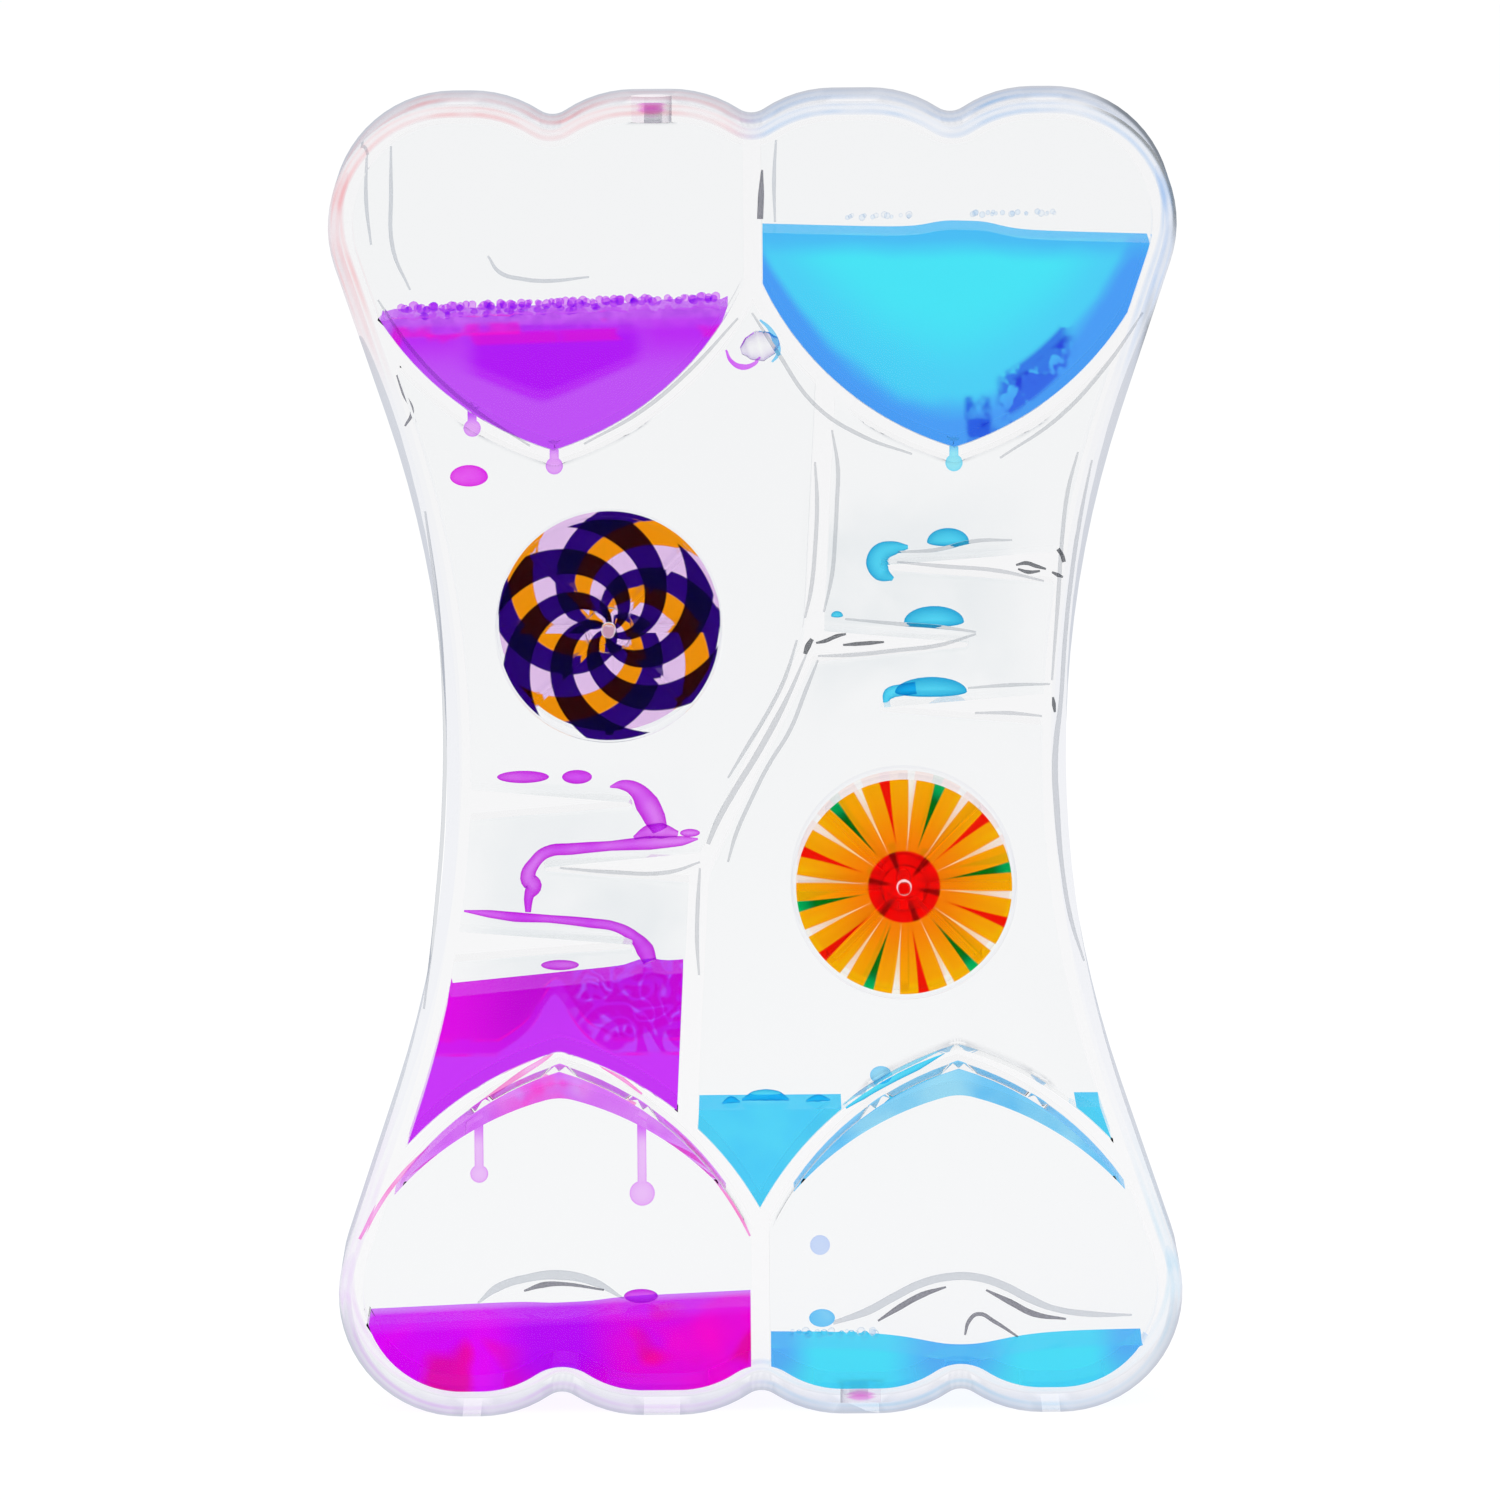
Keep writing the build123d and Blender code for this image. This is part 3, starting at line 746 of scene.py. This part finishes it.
# Blue drops: domes at rest on the three ledges, one wrapped round the top ledge's tip and one
# that starts to run off the lowest.
blue_routes = (
    [(908, 547, 2), (894, 548, 7), (881, 553, 10), (877, 563, 11), (882, 573, 9), (893, 579, 2)],
    [(885, 704, 2), (889, 694, 6), (902, 690, 6), (916, 688, 6)],
)
blue_blobs = (
    (948, 542, 21, 14),
    (934, 622, 30, 16),
    (931, 692, 36, 15),
    (837, 616, 6, 5),
)
drops = [flow("blue run", route, blue_drops, depth_share=1.4) for route in blue_routes]
drops += [drop(*blob, blue_drops, under_share=0.3) for blob in blue_blobs]
fit(joined("blue_running_drops", drops), "housing", "blue_liquid", "blue_ledge_drops")

# Foam: beads of liquid that haven't joined the rest, along the violet surface in the upper heart,
# over the blue surface beside it, and by the divider at the bottom.
foam = bpy.data.node_groups.new("foam beads", "GeometryNodeTree")
foam.is_modifier = True
foam.interface.new_socket("Beads", in_out="OUTPUT", socket_type="NodeSocketGeometry")
foam_kinds = {
    "Low corner": "Vector", "High corner": "Vector", "Slope": "Float", "Spacing": "Float",
    "Smallest": "Float", "Largest": "Float", "Seed": "Int", "Finish": "Material"}
foam_inputs = {}
for label, kind in foam_kinds.items():
    made = foam.interface.new_socket(label, in_out="INPUT", socket_type="NodeSocket" + kind)
    foam_inputs[label] = made.identifier
given = foam.nodes.new("NodeGroupInput").outputs


def foam_node(kind, links, **settings):
    """Add a node to the foam's tree, with its sockets linked to other nodes or set to values."""
    made = foam.nodes.new(kind)
    for key, value in settings.items():
        setattr(made, key, value)
    for key, value in links.items():
        if isinstance(value, bpy.types.NodeSocket):
            foam.links.new(value, made.inputs[key])
        else:
            made.inputs[key].default_value = value
    return made


low_corner, high_corner = given["Low corner"], given["High corner"]
span = foam_node("ShaderNodeVectorMath", {0: high_corner, 1: low_corner}, operation="SUBTRACT").outputs[0]
spans = foam_node("ShaderNodeSeparateXYZ", {0: span}).outputs
middle = foam_node("ShaderNodeVectorMath", {0: high_corner, 1: low_corner}, operation="ADD").outputs[0]
middle = foam_node("ShaderNodeVectorMath", {0: middle, "Scale": 0.5}, operation="SCALE").outputs[0]
sheet = foam_node("GeometryNodeMeshGrid", {
    "Size X": spans[0], "Size Y": spans[1], "Vertices X": 2, "Vertices Y": 2})
most_beads = 4000000.0  # to a square metre, so the spacing sets how many there are
scattered = foam_node("GeometryNodeDistributePointsOnFaces", {
    "Mesh": sheet.outputs["Mesh"], "Distance Min": given["Spacing"], "Density Max": most_beads,
    "Seed": given["Seed"]}, distribute_method="POISSON")
size = foam_node("FunctionNodeRandomValue", {
    "Min": given["Smallest"], "Max": given["Largest"], "Seed": given["Seed"]})
beads = foam_node("GeometryNodeInstanceOnPoints", {
    "Points": scattered.outputs["Points"],
    "Instance": foam_node("GeometryNodeMeshIcoSphere", {"Radius": 1.0, "Subdivisions": 2}).outputs["Mesh"],
    "Scale": next(socket for socket in size.outputs if socket.enabled)})
real = foam_node("GeometryNodeRealizeInstances", {"Geometry": beads.outputs["Instances"]})
tilt = foam_node("ShaderNodeCombineXYZ", {"Y": given["Slope"]}).outputs[0]
placed = foam_node("GeometryNodeTransform", {
    "Geometry": real.outputs["Geometry"], "Translation": middle, "Rotation": tilt})
painted = foam_node("GeometryNodeSetMaterial", {
    "Geometry": placed.outputs["Geometry"], "Material": given["Finish"]})
smoothed = foam_node("GeometryNodeSetShadeSmooth", {"Geometry": painted.outputs["Geometry"]})
foam.links.new(smoothed.outputs["Geometry"], foam.nodes.new("NodeGroupOutput").inputs["Beads"])


def foam_patch(low_pixel, high_pixel, half_depth, slope, spacing, sizes, seed, finish):
    """Beads over a patch between two places in the photograph, on a surface that slopes a little."""
    corners = [seen_at(*low_pixel, half_case), seen_at(*high_pixel, half_case)]
    height = (corners[0].z + corners[1].z) / 2
    low = Vector((corners[0].x, -half_depth, height))
    high = Vector((corners[1].x, half_depth, height))
    rough = in_scene("foam", bpy.data.meshes.new("foam"))
    beading = rough.modifiers.new("foam", "NODES")
    beading.node_group = foam
    values = (low, high, slope, spacing, sizes[0], sizes[1], seed, finish)
    for label, value in zip(foam_inputs, values):
        beading[foam_inputs[label]] = value
    mesh = mesh_of(rough)
    bpy.data.objects.remove(rough)
    return in_scene("foam", mesh)


foam_slope = radians(-1.6)
violet_bead = film_liquid("violet foam", (226, 176, 245), (214, 140, 243), (206, 110, 240), 0.3)
clear_bead = film_liquid("pale foam", (240, 242, 244), (224, 234, 243), (196, 208, 224), 0.3)

# For each patch of foam: its low and high ends in pixels, half its depth, its slope, the beads'
# spacing, smallest and largest size, and the seed.
violet_patches = (
    ((400, 308), (716, 298), 0.004, foam_slope, 0.0015, (0.0003, 0.0006), 7),
    ((420, 314), (600, 310), 0.004, foam_slope, 0.0022, (0.0003, 0.0005), 11),
)
blue_patches = (
    ((846, 216), (912, 216), 0.003, 0.0, 0.0014, (0.0002, 0.0004), 3),
    ((972, 212), (1056, 214), 0.003, 0.0, 0.0014, (0.0002, 0.0004), 5),
    ((790, 1332), (880, 1334), 0.003, 0.0, 0.0014, (0.0002, 0.0005), 9),
)
foams = {"violet": (violet_patches, violet_bead), "blue": (blue_patches, clear_bead)}
for side, (patches, finish) in foams.items():
    beds = [foam_patch(*patch, finish) for patch in patches]
    fit(joined(side + "_foam", beds), "housing", side + "_liquid")

# Falling drops, on their way through the oil: one from the left heart and one in the lower right.
# Two more rest on the surfaces at the bottom.
violet_falling = (469, 477, 19, 12)
violet_landed = (641, 1296, 17, 7)
blue_falling = (820, 1245, 10, 10)
blue_landed = (822, 1318, 13, 9)
bright_drop = film_liquid("falling violet drop", (236, 110, 240), (222, 60, 236), (214, 20, 220), 0.4)
faint_drop = film_liquid("falling blue drop", (210, 222, 244), (196, 212, 243), (184, 200, 240))
drops = [drop(*violet_falling, bright_drop, under_share=0.8), drop(*violet_landed, violet_drops)]
fit(joined("violet_falling_drops", drops), "housing", "violet_liquid")
drops = [drop(*blue_falling, faint_drop), drop(*blue_landed, blue_film)]
fit(joined("blue_falling_drops", drops), "housing", "blue_liquid")

# Liquid on the lower roofs and the right-hand pool: pink lines along the left roof, painted highlights made
# as thin runs of liquid, a streak down the right roof with a drop in it, and lens-shaped drops afloat on the
# pool.
roof_routes = (
    [(846, 1108, 1), (862, 1096, 4), (890, 1080, 4), (918, 1066, 4), (947, 1051, 1)],
    [(742, 1100, 1), (754, 1096, 5), (766, 1095, 6), (778, 1096, 5), (789, 1100, 1)],
    [(806, 1101, 1), (818, 1098, 4), (830, 1100, 1)],
    [(722, 1104, 1), (731, 1100, 4), (740, 1102, 1)],
)
pink_highlight_routes = (
    [(470, 1110, 1), (498, 1090, 2), (524, 1072, 3), (546, 1058, 2), (556, 1050, 1)],
    [(583, 1052, 1), (604, 1066, 3), (624, 1080, 2), (642, 1094, 1)],
    [(664, 1120, 1), (690, 1146, 2), (716, 1178, 3), (738, 1212, 2), (750, 1236, 1)],
    [(430, 1146, 1), (404, 1172, 2), (380, 1204, 2), (360, 1244, 1)],
)
roof_blob = (881, 1075, 11, 9)
streak_share = 1.6
# Painted highlight: pink lines of liquid along the top of the left roof.
pink_highlight_liquid = film_liquid("pink liquid on the roof", (248, 132, 200), (244, 184, 236), (240, 110, 210))
streaks = [flow("streak", route, pink_highlight_liquid, streak_share) for route in pink_highlight_routes]
fit(joined("violet_roof_highlights", streaks), "housing", "violet_liquid")
streaks = [flow("streak", route, blue_drops, streak_share) for route in roof_routes]
streaks.append(drop(*roof_blob, blue_film))
fit(joined("blue_roof_streaks", streaks), "housing", "blue_liquid")

# Thin clear tubes: arches and short marks of pale and dark grey painted shade inside the back wall, and
# fillets where the divider, ledges, floors and sides meet the front, with dark grey painted shade on the ones
# at the ledges' roots.
pale_routes = (
    [(478, 1303, 1), (497, 1288, 4), (528, 1278, 4), (560, 1275, 5), (594, 1282, 4), (624, 1299, 1)],
    [(833, 1323, 2), (868, 1311, 4), (894, 1297, 4), (920, 1284, 4), (948, 1277, 4), (975, 1277, 4),
     (1002, 1285, 4), (1030, 1299, 4), (1052, 1308, 3), (1090, 1314, 3), (1132, 1315, 1)],
    [(488, 256, 1), (499, 272, 2), (522, 279, 2), (548, 281, 2), (589, 277, 1)],
    [(776, 140, 1), (774, 180, 2), (775, 222, 1)],
    [(367, 150, 1), (366, 200, 2), (371, 245, 1)],
    [(391, 146, 1), (391, 190, 2), (393, 250, 2), (410, 290, 1)],
)
dark_routes = (
    [(524, 1291, 1), (543, 1285, 3), (563, 1284, 2), (604, 1290, 1)],
    [(878, 1321, 1), (900, 1307, 3), (922, 1295, 3), (946, 1287, 1)],
    [(986, 1290, 1), (1010, 1302, 3), (1034, 1314, 3), (1066, 1319, 1)],
    [(965, 1335, 1), (969, 1321, 2), (978, 1314, 2), (995, 1322, 2), (1018, 1337, 1)],
    [(762, 170, 1), (761, 195, 3), (760, 219, 3)],
    [(397, 375, 1), (404, 394, 2), (412, 412, 2), (405, 426, 1)],
)
fillet_routes = (
    [(815, 462, 1), (817, 500, 2), (815, 550, 2), (811, 590, 2), (805, 618, 1)],
    [(832, 430, 1), (838, 470, 2), (837, 500, 2), (835, 540, 2), (832, 575, 2), (824, 612, 1)],
    [(797, 640, 1), (785, 678, 2), (768, 712, 2), (748, 745, 2), (728, 778, 1)],
    [(806, 655, 1), (790, 692, 2), (775, 722, 3), (756, 756, 3), (735, 790, 3), (718, 820, 3), (708, 844, 2)],
    [(818, 660, 1), (806, 690, 2), (790, 730, 2), (768, 766, 2), (750, 802, 2), (736, 834, 2), (728, 862, 1)],
    [(700, 868, 1), (698, 900, 2), (697, 940, 2), (699, 975, 1)],
    [(898, 552, 1), (935, 550, 2), (975, 541, 2), (1012, 540, 1)],
    [(897, 562, 1), (940, 566, 2), (1000, 571, 2), (1044, 581, 1)],
    [(845, 619, 1), (900, 624, 2), (940, 627, 2), (976, 632, 1)],
    [(818, 656, 1), (850, 655, 2), (900, 650, 2), (940, 645, 2), (976, 634, 1)],
    [(968, 688, 1), (1010, 685, 2), (1050, 684, 1)],
    [(975, 713, 1), (1010, 713, 2), (1042, 716, 1)],
    [(1078, 452, 1), (1068, 490, 2), (1062, 540, 2), (1058, 600, 2), (1052, 680, 1)],
    [(1092, 460, 1), (1080, 520, 2), (1070, 590, 2), (1065, 640, 2), (1061, 700, 2), (1055, 760, 3),
     (1057, 810, 3), (1062, 866, 2), (1071, 920, 2), (1084, 962, 1)],
    [(425, 512, 1), (437, 600, 2), (444, 700, 2), (444, 797, 2), (437, 900, 2), (424, 1010, 1)],
    [(560, 868, 1), (610, 872, 2), (670, 872, 2), (700, 862, 1)],
    [(752, 313, 1), (776, 350, 2), (815, 405, 2), (862, 436, 2), (912, 454, 1)],
    [(1143, 313, 1), (1106, 366, 2), (1058, 418, 2), (1000, 458, 1)],
    [(378, 300, 1), (412, 350, 2), (462, 400, 2), (530, 446, 1)],
    [(738, 318, 1), (690, 370, 2), (640, 412, 2), (584, 444, 1)],
)
root_routes = (
    [(805, 654, 2), (808, 646, 3), (812, 639, 2)],
    [(816, 643, 1), (825, 641, 2), (837, 636, 2), (846, 634, 1)],
    [(843, 645, 1), (856, 644, 2), (870, 643, 2), (884, 642, 1)],
    [(1016, 565, 1), (1026, 563, 2), (1036, 566, 2), (1046, 569, 1)],
    [(1018, 569, 1), (1028, 572, 2), (1040, 571, 1)],
    [(1058, 549, 2), (1062, 555, 2), (1064, 562, 2)],
    [(1052, 572, 1), (1058, 575, 2), (1063, 577, 1)],
    [(1053, 697, 1), (1054, 705, 2), (1055, 713, 1)],
)
front_wall = 0.003
back_wall = 2 * half_case - front_wall
tube_depth_share = 0.6
tube_ior = 1.01
# Painted shade: pale and dark grey for the lines inside the back wall.
pale_shade_line_finish = clear_finish("back ridge", tube_ior, colour(218, 221, 226), colour(200, 204, 211))
dark_shade_line_finish = clear_finish("deep back ridge", tube_ior, colour(150, 150, 158), colour(112, 112, 122))
fillet_finish = clear_finish("moulded fillet", tube_ior, colour(219, 221, 224), colour(206, 209, 213))
# Painted shade: dark grey for the fillets at the ledges' roots.
root_shade_finish = clear_finish("fillet with painted shade", tube_ior, colour(128, 130, 134), colour(96, 98, 102))
shade_lines_and_fillets = {
    "back_wall_pale_shade_lines": (pale_routes, pale_shade_line_finish, back_wall),
    "back_wall_dark_shade_lines": (dark_routes, dark_shade_line_finish, back_wall),
    "wall_fillets": (fillet_routes, fillet_finish, front_wall),
    "shaded_root_fillets": (root_routes, root_shade_finish, front_wall),
}
for name, (routes, finish, depth) in shade_lines_and_fillets.items():
    lines = [flow(name, route, finish, tube_depth_share, depth) for route in routes]
    fit(joined(name, lines), "housing", "clear_shell")

# Air bubble caught under the wall between the upper hearts. Light bends the other way in it.
air_ior = 0.93
bubble_finish = clear_finish("air in oil", air_ior, (1, 1, 1, 1), colour(176, 150, 214), 0.5)
bubble_route = [(741, 351, 4), (748, 349, 12), (760, 346, 17), (772, 343, 12), (779, 341, 4)]
fit(flow("air_bubble", bubble_route, bubble_finish), "housing", "clear_shell")
violet_ring = [(726, 350, 1), (731, 361, 2), (742, 367, 3), (754, 364, 2), (760, 358, 1)]
fit(flow("violet_bubble_ring", violet_ring, violet_film), "housing", "violet_liquid")
blue_ring = [(760, 320, 1), (769, 328, 2), (776, 341, 3), (778, 354, 2), (772, 362, 1)]
fit(flow("blue_bubble_ring", blue_ring, blue_film), "housing", "blue_liquid")


# Wheels: clear paddles between two clear discs on a fixed pin, with a printed film on either end.
# The inks are see-through, so the front and back films darken each other where they cross.
def polar(finish, node):
    """Distance from the middle of a film, in millimetres, and the angle round it, in degrees."""
    low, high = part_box(node)
    x, _, height = finish.place((low + high) / 2)
    distance = (x * x + height * height) ** 0.5
    return distance, height.join("ARCTAN2", height, x) * (180 / pi)


def part_of_turn(angle, repeat):
    """How far an angle is through its repeat, 0 to 1."""
    turns = angle / repeat
    return turns - turns.join("FLOOR", turns)


def close_print(finish, shade):
    """See-through ink on a film in oil."""
    return finish.light_through(finish.clear_body(shade, film_ior), print_shadow)


def ink(red, green, blue):
    """Colour of an ink on one face, which lets the square root of it through."""
    return tuple(level ** 2 for level in dye(red, green, blue))


def pinwheel(node, arms, clear_angle, twist_sign):
    """Spiral arms that turn faster near the middle."""
    finish = Finish(node.replace("_", " "))
    distance, angle = polar(finish, node)
    near_middle = distance.join("LOGARITHM", distance, natural_base)
    twist = distance * twist_outside + near_middle * twist_inside - twist_start
    return finish, part_of_turn(angle - clear_angle - twist * twist_sign, 360 / arms)


def front_pinwheel(node):
    """Six purple arms on clear film."""
    finish, place = pinwheel(node, 6, 51, 1)
    clear = stripe(finish, place, 0.5, 0.22, 0.012)
    return close_print(finish, finish.blend(clear, purple_ink, (1, 1, 1, 1)))


def back_pinwheel(node):
    """Four repeats of purple, pale pink and orange, turning the other way."""
    finish, place = pinwheel(node, 4, 34, -1)
    shade = finish.blend(stripe(finish, place, 0.333, 0.167, 0.008), purple_ink, ink(222, 188, 228))
    shade = finish.blend(stripe(finish, place, 0.667, 0.167, 0.008), shade, ink(236, 142, 12))
    return close_print(finish, shade)


def sunburst(node, strength):
    """Red middle with orange rays, parted by slivers of green, white, red and white."""
    finish = Finish(node.replace("_", " "))
    distance, angle = polar(finish, node)
    quarter = part_of_turn(angle - 2.7, 60) * 4.0
    sliver = quarter.join("FLOOR", quarter)
    inside = abs_of(quarter - sliver - 0.5)
    share = (distance - red_radius) / ray_length
    white = stripe(finish, abs_of(sliver - 2.0), 1.0, 0.25, 0.1)
    slivers = finish.between(share * (0.2 - 0.06 * white) - inside, -0.02, 0.02)
    rays = finish.blend(finish.between(share, 0.0, 1.0), ink(252, 134, 4), ink(250, 172, 6))
    green = finish.blend(finish.between(share, 0.75, 1.0), ink(0, 112, 20), ink(0, 176, 92))
    green_or_red = finish.blend(finish.between(sliver, 0.5, 1.5), green, ink(238, 24, 8))
    peach = finish.blend(finish.between(share, 0.5, 1.0), ink(250, 214, 168), ink(250, 238, 226))
    shade = finish.blend(white, green_or_red, peach)
    shade = finish.blend(slivers, rays, shade)
    every_third = stripe(finish, part_of_turn(angle - 20.0, 60), 0.5, 0.1, 0.05)
    smear = every_third * finish.between(distance, 0.8, 2.4)
    red = finish.blend(smear, ink(240, 8, 6), ink(150, 0, 0))
    middle = finish.between(red_radius - distance, -0.08, 0.08)
    shade = finish.blend(middle, shade, red)
    return close_print(finish, finish.blend(strength, (1, 1, 1, 1), shade))


def film_piece(node, body, slot, finish):
    """Film with its ink on the outer face, where nothing else lies against it."""
    piece = welded_copy(node, node.replace("print", "film"))
    outward = 1 if "back" in node else -1
    piece.data.materials.append(finish)
    piece.data.materials.append(seam_finish.material)
    for face in piece.data.polygons:
        face.material_index = 0 if face.normal.y * outward > square_on else 1
    fit(piece, body, slot, node)


def pin_finish(node, end_colour):
    """Clear pin that takes on its wheel's colour at the ends."""
    finish = Finish(node.replace("_", " "))
    low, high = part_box(node)
    from_middle = abs_of(finish.place((low + high) / 2)[1])
    half_length = (high.y - low.y) / 2 * 1000
    at_end = finish.between(from_middle - half_length, -0.2, -0.1)
    shade = finish.blend(at_end, clear_tint, end_colour)
    return finish.light_through(finish.clear_body(shade, pin_ior), clear_tint)


film_ior = 1.001
wheel_ior = 1.003
pin_ior = 1.004
print_shadow = (0.6, 0.5, 0.5, 1)
purple_ink = ink(44, 4, 112)
twist_outside, twist_inside, twist_start = 8.54, 13.76, 94.9
red_radius, ray_length = 4.0, 7.9
wheel_plastic = clear_finish("clear wheel plastic", wheel_ior, clear_tint, colour(232, 232, 238))
pin_colours = {"left": dye(196, 150, 176), "right": dye(232, 0, 0)}
for wheel, pin_colour in pin_colours.items():
    for part in ("_wheel_front_disc", "_wheel_back_disc"):
        paint(wheel + part, wheel_plastic)
    drum = welded_copy(wheel + "_wheel_paddles", wheel + "_wheel_drum")
    drum.data.materials.append(wheel_plastic)
    drum.data.materials.append(seam_finish.material)
    for face in drum.data.polygons:
        face.material_index = 1 if abs(face.normal.y) > square_on else 0
    fit(drum, wheel + "_wheel", "clear_wheel", wheel + "_wheel_paddles")
    pin = wheel + "_axle_pin"
    paint(pin, pin_finish(pin, pin_colour))
left_prints = {"front": front_pinwheel, "back": back_pinwheel}
for end, pattern in left_prints.items():
    node = "left_wheel_" + end + "_print"
    film_piece(node, "left_wheel", "pinwheel_print", pattern(node))
right_strengths = {"front": 1.0, "back": 0.3}
for end, strength in right_strengths.items():
    node = "right_wheel_" + end + "_print"
    film_piece(node, "right_wheel", "sunburst_print", sunburst(node, strength))

# Studio: a white floor that runs out of sight, a white surround and two large soft lamps.
def seen_directly(finish):
    """1 for the rays that show a surface to the camera, directly or in plastic."""
    outputs = finish.node("LightPath").socket.node.outputs
    camera_ray, glossy, through = (
        Field(finish, outputs[name]) for name in ("Is Camera Ray", "Is Glossy Ray", "Is Transmission Ray"))
    return larger_of(larger_of(camera_ray, glossy), through)


floor_finish = Finish("white paper floor")
paper_white = (0.8, 0.8, 0.8, 1)
shadow_keeper = (0.12, 0.12, 0.12, 1)
paper_glow = 0.925
lit = floor_finish.node("BsdfDiffuse", {}, {"Color": paper_white})
paper = floor_finish.node("BsdfDiffuse", {}, {"Color": shadow_keeper})
glow = floor_finish.node("Emission", {}, {"Color": (1, 1, 1, 1), "Strength": paper_glow})
white = floor_finish.node("AddShader", {}, {0: paper, 1: glow})
floor_finish.node("OutputMaterial", {}, {
    "Surface": floor_finish.node("MixShader", {}, {0: seen_directly(floor_finish), 1: lit, 2: white})})
floor_size = 12.0
bpy.ops.mesh.primitive_plane_add(size=floor_size)
floor = bpy.context.object
floor.name = "floor"
floor.data.materials.append(floor_finish.material)

world = bpy.data.worlds.new("white surround")
scene.world = world
surround = Finish("white surround", world)
room_light = (0.7, 0.7, 0.7, 1)
brightness = surround.blend(seen_directly(surround), room_light, (1, 1, 1, 1))
background = surround.node("Background", {}, {"Color": brightness, "Strength": 1.0})
surround.node("OutputWorld", {}, {"Surface": background})


def soft_lamp(name, place, size, power):
    """Square softbox aimed at the middle of the timer."""
    lamp = in_scene(name, bpy.data.lights.new(name, "AREA"))
    lamp.data.size = size
    lamp.data.energy = power
    lamp.location = place
    lamp.rotation_euler = (Vector(place) - view_centre).to_track_quat("Z", "Y").to_euler()


soft_lamp("key softbox", place=(-0.5, -0.7, 0.9), size=0.6, power=6)
soft_lamp("fill softbox", place=(0.7, -0.5, 0.6), size=0.6, power=3)

scene.view_settings.view_transform = "Standard"
scene.cycles.max_bounces = 40
scene.cycles.transmission_bounces = 40
scene.cycles.glossy_bounces = 8
scene.cycles.diffuse_bounces = 3
scene.cycles.transparent_max_bounces = 64
scene.cycles.caustics_reflective = False
scene.cycles.caustics_refractive = False
